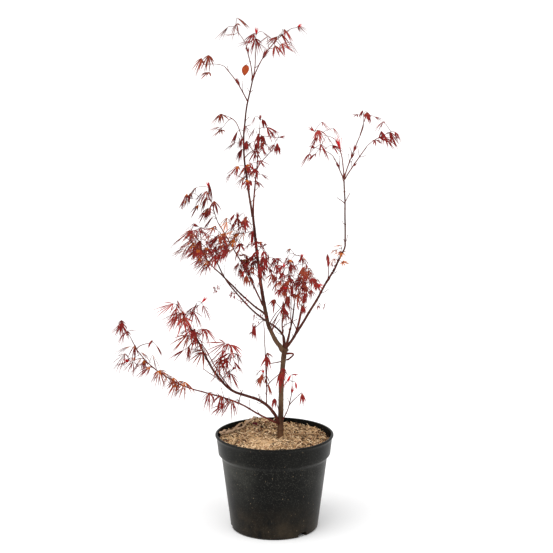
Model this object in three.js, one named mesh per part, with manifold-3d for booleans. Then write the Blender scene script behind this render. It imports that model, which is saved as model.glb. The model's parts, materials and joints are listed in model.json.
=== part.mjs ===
// A young strap-leaf Japanese maple in a round nursery container. Millimetres, +Z up.
// The origin is the centre of the container's flat underside. -Y is the front.
import * as THREE from 'three';
import { mergeVertices } from 'three/addons/utils/BufferGeometryUtils.js';
import Module from 'manifold-3d';

const wasm = await Module();
wasm.setup();

// ---------- driving dimensions ----------
const GAP = 0.4; // left between pieces that meet
const POT = {
  height: 228,
  lipRadius: 140,
  lipHeight: 12,
  bandTopRadius: 136.5,
  bandBottomRadius: 132.5,
  bandHeight: 34,
  stepHeight: 10,
  wallTopRadius: 125,
  wallBottomRadius: 104,
  cornerRadius: 6,
  wall: 2.6,
  floor: 3,
  sides: 36,
  notches: 3,
  notchTurn: -50, // degrees from +X to the first notch
  notchWidth: 24,
  notchHeight: 10,
  notchDepth: 22,
  pocketWall: 2,
};
const COMPOST_TOP = 200;
const MULCH = { top: 215, tilt: 3, heap: 15, heapAt: [-42, 108], heapSpread: 40, rings: 6, sides: 28 };
const TRUNK = { sides: 12, steps: 12, footRadius: 7.6, topRadius: 6.2, waistRadius: 5.6, flare: 4.2, flareHeight: 20 };
const LIMB = { sides: 5, stepLength: 38, fewestSteps: 4 };

// The trunk leans a little to the right and back on its way to the fork.
const TRUNK_ROUTE = [[14, 0, COMPOST_TOP + GAP], [15, 0, 270], [17, 3, 350], [24, 5, 433]];

// Each limb leaves its parent at a share of the parent's length, passes its bends and ends at the last
// point. Diameters are at the foot and at the tip.
const LIMBS = [
  { name: 'leader_lower', from: 'trunk', at: 0.97, via: [[8, 9, 447], [-9, 12, 463], [-18, 15, 500], [-36, 20, 617], [-50, 25, 740]], thick: [11.5, 6] },
  { name: 'right_bough_lower', from: 'trunk', at: 0.98, via: [[48, -8, 465], [103, -38, 566], [161, -65, 677]], thick: [7, 4.6] },
  { name: 'leader_upper', from: 'leader_lower', at: 1, via: [[-60, 15, 805], [-71, -2, 905], [-66, -8, 970], [-49, -10, 1057]], thick: [5.6, 3.4] },
  { name: 'leader_right_arm', from: 'leader_lower', at: 0.99, via: [[-46, 42, 800], [-39, 65, 868], [-35, 85, 940]], thick: [4.8, 2.2] },
  { name: 'leader_side_shoot', from: 'leader_upper', at: 0.84, via: [[-86, -28, 1053], [-125, -55, 1103]], thick: [3, 2] },
  { name: 'upper_left_shoot', from: 'leader_upper', at: 0.56, via: [[-92, -8, 968], [-116, -14, 972]], thick: [2.4, 1.8] },
  { name: 'top_left_shoot', from: 'leader_upper', at: 1, via: [[-54, -28, 1095], [-64, -42, 1140]], thick: [3, 2] },
  { name: 'top_middle_shoot', from: 'leader_upper', at: 1, via: [[-43, 4, 1085], [-44, 16, 1140]], thick: [3, 2] },
  { name: 'top_right_shoot', from: 'leader_upper', at: 1, via: [[-22, -10, 1111], [8, 2, 1148], [42, 14, 1172]], thick: [3, 1.8] },
  { name: 'right_bough_upper', from: 'right_bough_lower', at: 1, via: [[159, -60, 760], [157, -60, 840]], thick: [4.4, 3.4] },
  { name: 'crown_left_front_shoot', from: 'right_bough_upper', at: 0.96, via: [[143, -76, 865], [115, -115, 918]], thick: [3, 1.8] },
  { name: 'crown_left_rear_shoot', from: 'right_bough_upper', at: 1, via: [[152, -36, 892], [128, 0, 938]], thick: [3, 1.8] },
  { name: 'crown_right_front_shoot', from: 'right_bough_upper', at: 0.96, via: [[180, -84, 875], [228, -128, 948]], thick: [3, 1.8] },
  { name: 'crown_right_rear_shoot', from: 'right_bough_upper', at: 1, via: [[184, -27, 906], [215, 42, 974]], thick: [3, 1.8] },
  { name: 'left_rear_bough', from: 'trunk', at: 0.98, via: [[22, 22, 462], [-35, 45, 500], [-106, 82, 568], [-160, 118, 660]], thick: [5.4, 3] },
  { name: 'left_front_bough', from: 'leader_lower', at: 0.3, via: [[-62, -24, 552], [-120, -68, 620], [-168, -100, 668]], thick: [5, 3] },
  { name: 'left_high_bough', from: 'leader_lower', at: 0.34, via: [[-68, 32, 614], [-150, 42, 756]], thick: [4.6, 2.4] },
  { name: 'middle_rear_bough', from: 'trunk', at: 0.98, via: [[18, 42, 485], [34, 92, 562]], thick: [4.6, 2.6] },
  { name: 'middle_front_bough', from: 'trunk', at: 0.98, via: [[38, -36, 490], [48, -92, 574]], thick: [5.4, 3] },
  { name: 'right_rear_bough', from: 'trunk', at: 0.98, via: [[52, 32, 466], [72, 94, 530]], thick: [4.2, 2.2] },
  { name: 'low_front_bough', from: 'trunk', at: 0.2, via: [[-2, -8, 281], [-26, -15, 308], [-103, -42, 345], [-144, -68, 404], [-180, -92, 485], [-228, -125, 570]], thick: [8.6, 3] },
  { name: 'low_rear_bough', from: 'trunk', at: 0.21, via: [[-30, 18, 264], [-91, 48, 291], [-235, 100, 323], [-325, 125, 385], [-364, 140, 458]], thick: [5, 2.2] },
  { name: 'knee_sprout', from: 'low_front_bough', at: 0.15, via: [[-18, -28, 342], [-20, -38, 376]], thick: [3, 2] },
  { name: 'foot_sprout', from: 'trunk', at: 0.22, via: [[30, -13, 284], [43, -32, 345]], thick: [3, 2] },
  { name: 'dead_twig', from: 'trunk', at: 0.94, via: [[40, -1, 428], [53, 1, 416], [30, 15, 402], [2, 15, 395], [-25, 8, 391]], thick: [3.2, 2.2] },
];

// Each mass of foliage: its centre, half its size along X, Y and Z, and its roll about Y in degrees.
const MASSES = [
  { name: 'top_left_leaves', centre: [-88, -46, 1152], half: [29, 32, 40], roll: 15 },
  { name: 'top_middle_leaves', centre: [-38, 16, 1152], half: [30, 34, 28], roll: 0 },
  { name: 'top_right_leaves', centre: [6, 2, 1136], half: [32, 32, 27], roll: 20 },
  { name: 'top_right_tip_leaves', centre: [54, 16, 1168], half: [26, 22, 18], roll: -15 },
  { name: 'side_shoot_leaves', centre: [-132, -54, 1086], half: [42, 34, 30], roll: 15 },
  { name: 'upper_left_leaves', centre: [-124, -14, 960], half: [26, 28, 32], roll: -15 },
  { name: 'mid_left_leaves', centre: [-92, -8, 912], half: [32, 38, 38], roll: -30 },
  { name: 'mid_right_leaves', centre: [-24, 84, 908], half: [46, 40, 46], roll: 0 },
  { name: 'lower_mid_leaves', centre: [-54, 26, 838], half: [58, 50, 32], roll: 5 },
  { name: 'crown_left_front_leaves', centre: [106, -116, 898], half: [36, 40, 42], roll: 25 },
  { name: 'crown_left_rear_leaves', centre: [112, 10, 914], half: [40, 42, 36], roll: 20 },
  { name: 'crown_right_front_leaves', centre: [228, -128, 934], half: [44, 40, 40], roll: 35 },
  { name: 'crown_right_rear_leaves', centre: [216, 44, 954], half: [40, 40, 38], roll: 0 },
  { name: 'right_bend_leaves', centre: [140, -68, 664], half: [32, 36, 42], roll: 25 },
  { name: 'left_high_leaves', centre: [-160, 42, 768], half: [66, 58, 50], roll: -25 },
  { name: 'left_rear_leaves', centre: [-166, 120, 664], half: [70, 54, 58], roll: -15 },
  { name: 'left_front_leaves', centre: [-160, -104, 680], half: [66, 54, 56], roll: 15 },
  { name: 'left_inner_leaves', centre: [-84, -12, 705], half: [42, 50, 48], roll: 20 },
  { name: 'centre_leaves', centre: [-38, -6, 622], half: [44, 54, 68], roll: 0 },
  { name: 'centre_rear_leaves', centre: [54, 98, 576], half: [64, 54, 62], roll: 20 },
  { name: 'centre_front_leaves', centre: [52, -96, 604], half: [56, 52, 58], roll: -15 },
  { name: 'low_front_tip_leaves', centre: [-214, -118, 540], half: [48, 46, 48], roll: 30 },
  { name: 'low_front_outer_leaves', centre: [-180, -84, 460], half: [50, 48, 40], roll: -10 },
  { name: 'low_front_inner_leaves', centre: [-112, -48, 414], half: [60, 48, 48], roll: 25 },
  { name: 'low_rear_tip_leaves', centre: [-368, 140, 446], half: [24, 30, 32], roll: 0 },
  { name: 'low_rear_outer_leaves', centre: [-334, 118, 370], half: [66, 50, 32], roll: 12 },
  { name: 'low_rear_middle_leaves', centre: [-240, 94, 330], half: [60, 50, 32], roll: 15 },
  { name: 'low_rear_inner_leaves', centre: [-118, 54, 286], half: [58, 46, 27], roll: 10 },
  { name: 'knee_leaves', centre: [-22, -44, 370], half: [35, 32, 37], roll: 0 },
  { name: 'foot_leaves', centre: [42, -40, 352], half: [22, 28, 46], roll: 0 },
];
const LUMPS = { count: 9, strength: 0.34, spread: 0.55 };
const FINE_MASS = 50; // a mass with a half size over this gets finer facets

// ---------- materials ----------
const looks = {
  pot: new THREE.MeshStandardMaterial({ color: 0x1b1c1d, roughness: 0.55, metalness: 0 }),
  compost: new THREE.MeshStandardMaterial({ color: 0x2c211a, roughness: 1, metalness: 0 }),
  mulch: new THREE.MeshStandardMaterial({ color: 0x9c7b58, roughness: 0.95, metalness: 0 }),
  bark: new THREE.MeshStandardMaterial({ color: 0x4a2b26, roughness: 0.7, metalness: 0 }),
  leaves: new THREE.MeshStandardMaterial({ color: 0x7c2f2c, roughness: 0.6, metalness: 0 }),
};

// ---------- solids ----------
function solidOf(geometry) {
  const bare = geometry.clone();
  bare.deleteAttribute('normal');
  bare.deleteAttribute('uv');
  const merged = mergeVertices(bare, 1e-4);
  return new wasm.Manifold(new wasm.Mesh({
    numProp: 3,
    vertProperties: new Float32Array(merged.attributes.position.array),
    triVerts: new Uint32Array(merged.index.array),
  }));
}

function geometryOf(solid) {
  const mesh = solid.getMesh();
  const geometry = new THREE.BufferGeometry();
  geometry.setAttribute('position', new THREE.BufferAttribute(mesh.vertProperties, 3));
  geometry.setIndex(new THREE.BufferAttribute(mesh.triVerts, 1));
  return geometry;
}

function largestPiece(solid) {
  return solid.decompose().reduce((a, b) => (b.volume() > a.volume() ? b : a));
}

function boxesMeet(a, b) {
  const p = a.boundingBox();
  const q = b.boundingBox();
  return [0, 1, 2].every((i) => p.min[i] < q.max[i] && q.min[i] < p.max[i]);
}

function cutBy(solid, cutters) {
  const left = cutters.filter((cutter) => boxesMeet(solid, cutter)).reduce((s, c) => s.subtract(c), solid);
  return largestPiece(left);
}

function addNode(group, name, solid, material, at) {
  const geometry = geometryOf(solid);
  geometry.translate(-at.x, -at.y, -at.z);
  geometry.computeVertexNormals();
  const mesh = new THREE.Mesh(geometry, material);
  mesh.name = name;
  mesh.position.copy(at);
  group.add(mesh);
}

function seeded(seed) {
  let state = seed;
  return () => {
    state = (state * 1664525 + 1013904223) % 4294967296;
    return state / 4294967296;
  };
}

// ---------- container, compost and mulch ----------
function outerWall() {
  const bandTop = POT.height - POT.lipHeight;
  const bandBottom = bandTop - POT.bandHeight;
  const lip = new THREE.Path();
  lip.moveTo(POT.wallBottomRadius - POT.cornerRadius, 0);
  lip.quadraticCurveTo(POT.wallBottomRadius - 1, 0, POT.wallBottomRadius, POT.cornerRadius);
  lip.lineTo(POT.wallTopRadius, bandBottom - POT.stepHeight);
  lip.lineTo(POT.bandBottomRadius, bandBottom);
  lip.lineTo(POT.bandTopRadius, bandTop);
  lip.quadraticCurveTo(POT.lipRadius, bandTop, POT.lipRadius, bandTop + POT.lipHeight / 2);
  lip.quadraticCurveTo(POT.lipRadius, POT.height, POT.lipRadius - POT.wall * 1.4, POT.height);
  return lip.getPoints(3);
}

function innerWall() {
  const bandTop = POT.height - POT.lipHeight;
  const bandBottom = bandTop - POT.bandHeight;
  return [
    new THREE.Vector2(POT.bandTopRadius - POT.wall * 0.6, bandTop),
    new THREE.Vector2(POT.bandBottomRadius - POT.wall, bandBottom),
    new THREE.Vector2(POT.wallTopRadius - POT.wall, bandBottom - POT.stepHeight),
    new THREE.Vector2(POT.wallBottomRadius - POT.wall, POT.floor),
  ];
}

function turned(profile, sides) {
  const lathe = new THREE.LatheGeometry(profile, sides);
  lathe.rotateX(Math.PI / 2);
  return lathe;
}

function potSolid() {
  const profile = [
    new THREE.Vector2(0, 0),
    ...outerWall(),
    ...innerWall(),
    new THREE.Vector2(0, POT.floor),
  ];
  const shell = solidOf(turned(profile, POT.sides));
  const body = solidOf(turned([new THREE.Vector2(0, 0), ...outerWall(), new THREE.Vector2(0, POT.height)], POT.sides));
  const lined = notchBoxes(POT.pocketWall).reduce((solid, box) => solid.add(box.intersect(body)), shell);
  return notchBoxes(0).reduce((solid, box) => solid.subtract(box), lined);
}

// Boxes round the drainage notches in the foot, each larger than its notch by a margin at the sides,
// the back and the top.
function notchBoxes(margin) {
  const boxes = [];
  for (let i = 0; i < POT.notches; i += 1) {
    const deep = (POT.notchDepth + margin) * 2;
    const box = new THREE.BoxGeometry(deep, POT.notchWidth + margin * 2, (POT.notchHeight + margin) * 2);
    box.translate(POT.wallBottomRadius, 0, 0);
    box.rotateZ(THREE.MathUtils.degToRad(POT.notchTurn + (i * 360) / POT.notches));
    boxes.push(solidOf(box));
  }
  return boxes;
}

// The inner radius of the container at a height above its band's foot.
function innerRadius(z) {
  const wall = innerWall();
  for (let i = 1; i < wall.length; i += 1) {
    const [above, below] = [wall[i - 1], wall[i]];
    if (z >= below.y) {
      return below.x + ((above.x - below.x) * (z - below.y)) / (above.y - below.y);
    }
  }
  return wall[wall.length - 1].x;
}

function compostSolid() {
  const wall = innerWall().reverse().filter((p) => p.y < COMPOST_TOP);
  const profile = [
    new THREE.Vector2(0, POT.floor + GAP),
    new THREE.Vector2(wall[0].x - GAP * 2, POT.floor + GAP),
    ...wall.slice(1).map((p) => new THREE.Vector2(p.x - GAP * 2, p.y)),
    new THREE.Vector2(innerRadius(COMPOST_TOP) - GAP * 2, COMPOST_TOP),
    new THREE.Vector2(0, COMPOST_TOP),
  ];
  const plug = solidOf(turned(profile, MULCH.sides));
  return notchBoxes(POT.pocketWall + GAP).reduce((solid, box) => solid.subtract(box), plug);
}

// The mulch is heaped towards the back left and uneven all over.
function mulchHeight(x, y) {
  const waves = Math.sin(x / 13 + 1) * Math.cos(y / 11) + Math.sin((x + y) / 23);
  const tilt = (MULCH.tilt * (y - x)) / (2 * POT.lipRadius);
  const off = Math.hypot(x - MULCH.heapAt[0], y - MULCH.heapAt[1]) / MULCH.heapSpread;
  return MULCH.top + tilt + MULCH.heap * Math.exp(-off * off) + waves * 0.8;
}

function mulchSolid() {
  const radius = innerRadius(COMPOST_TOP) - GAP * 2;
  const profile = [new THREE.Vector2(0, COMPOST_TOP + GAP), new THREE.Vector2(radius, COMPOST_TOP + GAP)];
  for (let ring = MULCH.rings; ring >= 0; ring -= 1) {
    profile.push(new THREE.Vector2((radius * ring) / MULCH.rings, MULCH.top));
  }
  const geometry = turned(profile, MULCH.sides);
  const spots = geometry.attributes.position;
  for (let i = 0; i < spots.count; i += 1) {
    if (spots.getZ(i) > MULCH.top - 1) {
      spots.setZ(i, mulchHeight(spots.getX(i), spots.getY(i)));
    }
  }
  return solidOf(geometry);
}

// ---------- limbs ----------
function tapered(curve, radiusAt, sides, steps, end = 1) {
  const corners = [];
  const faces = [];
  const frames = curve.computeFrenetFrames(steps, false);
  const centre = new THREE.Vector3();
  for (let ring = 0; ring <= steps; ring += 1) {
    const share = (ring / steps) * end;
    const nearest = Math.round(share * steps);
    curve.getPointAt(share, centre);
    for (let side = 0; side < sides; side += 1) {
      const angle = (side / sides) * 2 * Math.PI;
      const corner = centre.clone();
      corner.addScaledVector(frames.normals[nearest], Math.cos(angle) * radiusAt(share));
      corner.addScaledVector(frames.binormals[nearest], Math.sin(angle) * radiusAt(share));
      corners.push(...corner.toArray());
      if (ring > 0) {
        const here = ring * sides + side;
        const next = ring * sides + ((side + 1) % sides);
        faces.push(here - sides, next - sides, next, here - sides, next, here);
      }
    }
  }
  for (let side = 1; side < sides - 1; side += 1) {
    faces.push(0, side + 1, side);
    faces.push(steps * sides, steps * sides + side, steps * sides + side + 1);
  }
  const geometry = new THREE.BufferGeometry();
  geometry.setAttribute('position', new THREE.Float32BufferAttribute(corners, 3));
  geometry.setIndex(faces);
  return geometry;
}

function curveThrough(points) {
  return new THREE.CatmullRomCurve3(points, false, 'centripetal');
}

function trunkRadius(share) {
  const height = share * (TRUNK_ROUTE.at(-1)[2] - TRUNK_ROUTE[0][2]);
  const flare = TRUNK.flare * Math.exp(-height / TRUNK.flareHeight);
  const waist = Math.abs(share - 0.5) * 2;
  const end = share < 0.5 ? TRUNK.footRadius : TRUNK.topRadius;
  return TRUNK.waistRadius + (end - TRUNK.waistRadius) * waist ** 2 + flare;
}

function makeTrunk() {
  const curve = curveThrough(TRUNK_ROUTE.map((p) => new THREE.Vector3(...p)));
  const level = new THREE.Vector3(0, 0, TRUNK_ROUTE[0][2]);
  const grown = (extra) => tapered(curve, (s) => trunkRadius(s) + extra, TRUNK.sides, TRUNK.steps);
  const foot = new THREE.BoxGeometry(60, 60, 20);
  foot.translate(TRUNK_ROUTE[0][0], 0, level.z - 10);
  return {
    curve,
    solid: solidOf(grown(0)).subtract(solidOf(foot)),
    cutter: solidOf(grown(GAP)),
  };
}

function makeLimb(spec, parent) {
  const points = [parent.curve.getPointAt(spec.at), ...spec.via.map((p) => new THREE.Vector3(...p))];
  const curve = curveThrough(points);
  const [foot, tip] = spec.thick.map((diameter) => diameter / 2);
  const radiusAt = (share) => foot + (tip - foot) * share;
  const steps = Math.max(LIMB.fewestSteps, Math.round(curve.getLength() / LIMB.stepLength));
  const end = shareOutsideMasses(curve, tip);
  const grown = (extra) => solidOf(tapered(curve, (s) => radiusAt(s) + extra, LIMB.sides, steps, end));
  return { name: spec.name, curve, solid: grown(0), cutter: grown(GAP) };
}

// ---------- masses of foliage ----------
function makeMass(spec, index) {
  const random = seeded(index * 7919 + 17);
  const lumps = [];
  for (let i = 0; i < LUMPS.count; i += 1) {
    const up = random() * 2 - 1;
    const round = random() * 2 * Math.PI;
    const flat = Math.sqrt(1 - up * up);
    lumps.push(new THREE.Vector3(flat * Math.cos(round), flat * Math.sin(round), up));
  }
  const reach = (direction) => {
    const height = lumps.reduce((sum, lump, i) => {
      const bump = Math.exp(-direction.distanceToSquared(lump) / LUMPS.spread ** 2);
      return sum + (i % 3 === 2 ? -bump : bump);
    }, 0);
    return Math.min(1.12, 1 - LUMPS.strength / 2 + LUMPS.strength * height);
  };
  const roll = THREE.MathUtils.degToRad(spec.roll);
  const centre = new THREE.Vector3(...spec.centre);
  const half = new THREE.Vector3(...spec.half);
  const shape = (extra) => {
    const geometry = facetedSphere(Math.max(...spec.half) > FINE_MASS ? 2 : 1);
    const spots = geometry.attributes.position;
    const spot = new THREE.Vector3();
    for (let i = 0; i < spots.count; i += 1) {
      spot.fromBufferAttribute(spots, i).normalize();
      const far = reach(spot);
      spot.multiply(half).multiplyScalar(far);
      spot.setLength(spot.length() + extra);
      spots.setXYZ(i, spot.x, spot.y, spot.z);
    }
    geometry.rotateY(roll);
    geometry.translate(...spec.centre);
    return geometry;
  };
  const upright = new THREE.Quaternion().setFromAxisAngle(new THREE.Vector3(0, 1, 0), -roll);
  const holds = (point, extra) => {
    const local = point.clone().sub(centre).applyQuaternion(upright);
    const direction = local.clone().divide(half).normalize();
    const far = direction.clone().multiply(half).length() * reach(direction);
    return local.length() < far + extra;
  };
  return { name: spec.name, centre, holds, solid: solidOf(shape(0)), cutter: solidOf(shape(GAP)) };
}

function facetedSphere(detail) {
  const sphere = new THREE.IcosahedronGeometry(1, detail);
  sphere.deleteAttribute('normal');
  sphere.deleteAttribute('uv');
  return mergeVertices(sphere, 1e-4);
}

// A limb whose tip lies in a mass ends where it enters that mass.
function shareOutsideMasses(curve, tipRadius) {
  const inside = (share) => {
    const point = curve.getPointAt(share);
    return masses.filter((mass) => mass.holds(point, GAP + tipRadius));
  };
  const endMasses = inside(1);
  let share = 1;
  while (share > 0.1 && inside(share).some((mass) => endMasses.includes(mass))) {
    share -= 0.005;
  }
  return share;
}

const masses = MASSES.map(makeMass);
const trunk = makeTrunk();
const limbs = new Map([['trunk', trunk]]);
for (const spec of LIMBS) {
  limbs.set(spec.name, makeLimb(spec, limbs.get(spec.from)));
}

// ---------- assembly ----------
const group = new THREE.Group();
const container = new THREE.Group();
const wood = new THREE.Group();
const foliage = new THREE.Group();
group.add(container, wood, foliage);

const origin = new THREE.Vector3();
addNode(container, 'nursery_pot', potSolid(), looks.pot, origin);
addNode(container, 'potting_compost', compostSolid(), looks.compost, new THREE.Vector3(0, 0, POT.floor));
addNode(
  container,
  'bark_mulch',
  cutBy(mulchSolid(), [trunk.cutter]),
  looks.mulch,
  new THREE.Vector3(0, 0, COMPOST_TOP),
);
addNode(wood, 'trunk', trunk.solid, looks.bark, trunk.curve.getPointAt(0));

const earlier = [trunk.cutter];
for (const spec of LIMBS) {
  const limb = limbs.get(spec.name);
  addNode(wood, spec.name, cutBy(limb.solid, earlier), looks.bark, limb.curve.getPointAt(0));
  earlier.push(limb.cutter);
}
for (const mass of masses) {
  addNode(foliage, mass.name, cutBy(mass.solid, earlier), looks.leaves, mass.centre);
  earlier.push(mass.cutter);
}

export default group;
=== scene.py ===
"""A young strap-leaf Japanese maple in a nursery container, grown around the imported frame.

Metres, +Z up, front towards -Y. Limb routes, the container's size and the foliage's outline come from the
frame's nodes. Twigs and leaves grow on from the limbs by a seeded rule.
"""

import heapq
import json
import math
import random

import bmesh
import bpy
import numpy as np
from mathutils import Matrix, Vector, noise
from mathutils.bvhtree import BVHTree


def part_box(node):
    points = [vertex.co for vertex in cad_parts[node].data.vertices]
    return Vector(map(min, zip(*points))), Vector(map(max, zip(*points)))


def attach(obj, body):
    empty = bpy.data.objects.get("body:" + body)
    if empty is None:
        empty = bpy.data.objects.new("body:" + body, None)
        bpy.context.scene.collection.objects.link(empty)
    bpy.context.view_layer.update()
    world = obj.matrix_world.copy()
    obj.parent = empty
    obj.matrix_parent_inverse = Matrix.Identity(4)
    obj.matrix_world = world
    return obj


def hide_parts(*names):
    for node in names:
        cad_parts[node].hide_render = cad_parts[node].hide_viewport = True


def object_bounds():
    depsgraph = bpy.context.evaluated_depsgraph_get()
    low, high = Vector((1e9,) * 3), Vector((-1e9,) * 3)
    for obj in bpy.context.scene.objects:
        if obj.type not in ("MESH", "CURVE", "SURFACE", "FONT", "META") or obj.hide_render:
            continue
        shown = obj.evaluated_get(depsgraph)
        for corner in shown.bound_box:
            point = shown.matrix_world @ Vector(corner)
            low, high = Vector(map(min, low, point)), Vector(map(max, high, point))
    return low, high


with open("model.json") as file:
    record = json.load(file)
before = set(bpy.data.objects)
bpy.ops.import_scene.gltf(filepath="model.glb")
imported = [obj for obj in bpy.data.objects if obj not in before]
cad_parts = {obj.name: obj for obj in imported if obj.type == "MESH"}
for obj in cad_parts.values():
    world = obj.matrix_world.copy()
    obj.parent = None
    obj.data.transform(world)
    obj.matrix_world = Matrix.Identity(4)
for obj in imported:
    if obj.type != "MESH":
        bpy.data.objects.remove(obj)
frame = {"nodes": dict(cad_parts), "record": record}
cad_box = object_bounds()
noise.seed_set(11)  # unset, noise vectors take their seed from the clock

MM = 0.001
UP = np.array([0.0, 0.0, 1.0])
SLOTS = {row["node"]: row["material_slot"] for row in frame["record"]["subparts"]}
LIMBS = [node for node, slot in SLOTS.items() if slot == "bark"]
MASSES = [node for node, slot in SLOTS.items() if slot == "foliage"]

# ---------- camera and light ----------
CAMERA_PLACE = (0.005, -3.0, 1.111)
CAMERA_PITCH = math.radians(9.6)
CAMERA_LENS = 85.4
ROOM_LIGHT = 0.84
# Name, strength, softness, turn from the front and height above level, in degrees.
LAMPS = (
    ("key", 1.75, 65, -38, 52),
    ("fill", 0.5, 60, 50, 35),
    ("side", 0.35, 30, -75, 5),
)

# ---------- bark ----------
LIMB_STEP = 2.5 * MM
ROUTE_DIGITS = 7
INTERNODE = (22 * MM, 40 * MM)
SPUR_CHANCE = 0.3
BARK_COLOURS = {
    "trunk": ((0.026, 0.011, 0.007), (0.17, 0.108, 0.06), (0.075, 0.036, 0.021)),
    "limb": ((0.022, 0.006, 0.0055), (0.13, 0.048, 0.032), (0.06, 0.013, 0.01)),
    "shoot": ((0.06, 0.01, 0.008), (0.18, 0.05, 0.032), (0.11, 0.015, 0.012)),
}

# ---------- leaves ----------
LOBE_ANGLES = (0, 27, -27, 56, -56, 92, -92)
LOBE_SHARES = (1.0, 0.96, 0.96, 0.82, 0.82, 0.5, 0.5)
LOBE_STEPS = 12
HUB_SHARE = 3  # how many of a lobe's steps take the hub's tint
TINTS = {
    "crimson": (0.22, 0.018, 0.015),
    "russet": (0.25, 0.042, 0.02),
    "maroon": (0.15, 0.0165, 0.0145),
    "rose": (0.32, 0.038, 0.03),
    "bright": (0.5, 0.008, 0.012),
    "orange": (0.48, 0.12, 0.018),
    "olive": (0.2, 0.115, 0.022),
    "sage": (0.24, 0.21, 0.15),
}
HUB_TINTS = ("russet", "crimson", "olive", "orange", "russet")
# How leaves look in each part of the crown, by the start of a mass's name. Lengths in mm, tilt in
# degrees below level, fan as a share of the widest spread, the share of leaves that hang closed, how
# strongly they turn away from the stem, how far up the mass its lowest shoots end, and how far short
# of the leaves' own place, towards the stem, the shoots end.
STYLES = {
    "top_right_tip": {"lobe": (34, 42), "petiole": (2, 7), "tilt": (10, 40), "fan": (0.25, 0.5), "closed": 0,
                      "width": 3.6, "outward": 0.9, "tints": ("russet", "crimson")},
    "top": {"lobe": (40, 54), "petiole": (10, 30), "tilt": (5, 50), "fan": (0.4, 0.75), "closed": 0.05,
            "width": 3.4, "outward": 0.5, "tints": ("crimson", "russet", "rose", "maroon")},
    "side": {"lobe": (42, 56), "petiole": (12, 36), "tilt": (10, 55), "fan": (0.35, 0.65), "closed": 0.3,
             "width": 3.6, "outward": 0.8, "tints": ("russet", "crimson")},
    "upper": {"lobe": (42, 52), "petiole": (2, 8), "tilt": (10, 50), "fan": (0.4, 0.65), "closed": 0.0,
              "width": 3.8, "outward": 0.9, "tints": ("crimson", "russet")},
    "mid": {"lobe": (26, 42), "petiole": (10, 30), "tilt": (30, 70), "fan": (0.35, 0.8), "closed": 0.18,
            "width": 3.4, "outward": 0.4, "tints": ("crimson", "russet", "maroon", "crimson")},
    "lower": {"lobe": (26, 40), "petiole": (10, 26), "tilt": (20, 60), "fan": (0.5, 0.9), "closed": 0.0,
              "width": 3.4, "outward": 0.4, "tints": ("russet", "crimson", "maroon", "crimson")},
    "crown_right_rear": {"lobe": (18, 28), "petiole": (16, 40), "tilt": (0, 55), "fan": (0.3, 0.7), "closed": 0.3,
                         "width": 3.2, "outward": 0.3, "tints": ("crimson", "russet")},
    "crown": {"lobe": (34, 50), "petiole": (14, 46), "tilt": (10, 55), "fan": (0.35, 0.75), "closed": 0.1,
              "width": 3.5, "outward": 0.7, "tints": ("crimson", "russet", "crimson", "maroon", "rose")},
    "right": {"lobe": (18, 26), "petiole": (8, 16), "tilt": (0, 35), "fan": (0.9, 1.1), "closed": 0.0,
              "width": 3.2, "outward": 0.2, "tints": ("orange", "orange", "olive")},
    "left_high": {"lobe": (30, 44), "petiole": (12, 40), "tilt": (25, 65), "fan": (0.25, 0.65), "closed": 0.4,
                  "width": 3.7, "outward": 0.7, "tints": ("crimson", "russet", "maroon", "crimson")},
    "left_inner": {"lobe": (26, 40), "petiole": (10, 30), "tilt": (20, 65), "fan": (0.35, 0.75), "closed": 0.15,
                   "width": 3.1, "outward": 0.8, "floor": 0.08, "inward": 12,
                   "tints": ("crimson", "russet", "orange", "crimson")},
    "left": {"lobe": (34, 50), "petiole": (10, 28), "tilt": (15, 65), "fan": (0.3, 0.75), "closed": 0.12,
             "width": 3.0, "outward": 0.9, "floor": 0.08, "inward": 24,
             "tints": ("crimson", "russet", "maroon", "crimson", "rose")},
    "centre": {"lobe": (20, 34), "petiole": (8, 26), "tilt": (30, 75), "fan": (0.35, 0.85), "closed": 0.15,
               "width": 3.0, "outward": 0.3, "floor": 0.5,
               "tints": ("crimson", "crimson", "russet", "maroon")},
    "low_rear_outer": {"lobe": (48, 64), "petiole": (8, 34), "tilt": (0, 70), "fan": (0.3, 0.7), "closed": 0.1,
                       "width": 3.4, "outward": 0.6, "tints": ("crimson", "russet", "crimson")},
    "low": {"lobe": (42, 60), "petiole": (5, 18), "tilt": (15, 65), "fan": (0.35, 0.75), "closed": 0.08,
            "width": 3.1, "outward": 0.7, "floor": 0.15, "inward": 16,
            "tints": ("crimson", "crimson", "russet", "rose")},
    "knee": {"lobe": (20, 36), "petiole": (6, 14), "tilt": (30, 80), "fan": (0.2, 0.5), "closed": 0.3,
             "width": 3.6, "outward": 0.3, "tints": ("crimson", "russet")},
    "foot": {"lobe": (14, 24), "petiole": (5, 12), "tilt": (0, 75), "fan": (0.15, 0.35), "closed": 0.5,
             "width": 3.4, "outward": 0.2, "tints": ("crimson", "bright")},
}
# How many leaves each mass is made of.
LEAVES = {
    "top_left": 4, "top_middle": 5, "top_right": 7, "top_right_tip": 2, "side_shoot": 4, "upper_left": 3,
    "mid_left": 8, "mid_right": 14, "lower_mid": 17, "crown_left_front": 6, "crown_left_rear": 4,
    "crown_right_front": 8, "crown_right_rear": 3, "right_bend": 6, "left_high": 17, "left_rear": 38,
    "left_front": 38, "left_inner": 32, "centre": 52, "centre_rear": 40, "centre_front": 42,
    "low_front_tip": 17, "low_front_outer": 15, "low_front_inner": 17, "low_rear_tip": 6, "low_rear_outer": 14,
    "low_rear_middle": 12, "low_rear_inner": 11, "knee": 6, "foot": 4,
}
INTERNODE_LEAFY = (11 * MM, 20 * MM)
STEM_FOOT = np.array([15.0, 0.0, 215.0]) * MM
LEAST = np.array(cad_box[0]) - 6 * MM  # leaves keep between these two corners
MOST = np.array(cad_box[1]) + 6 * MM

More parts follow.
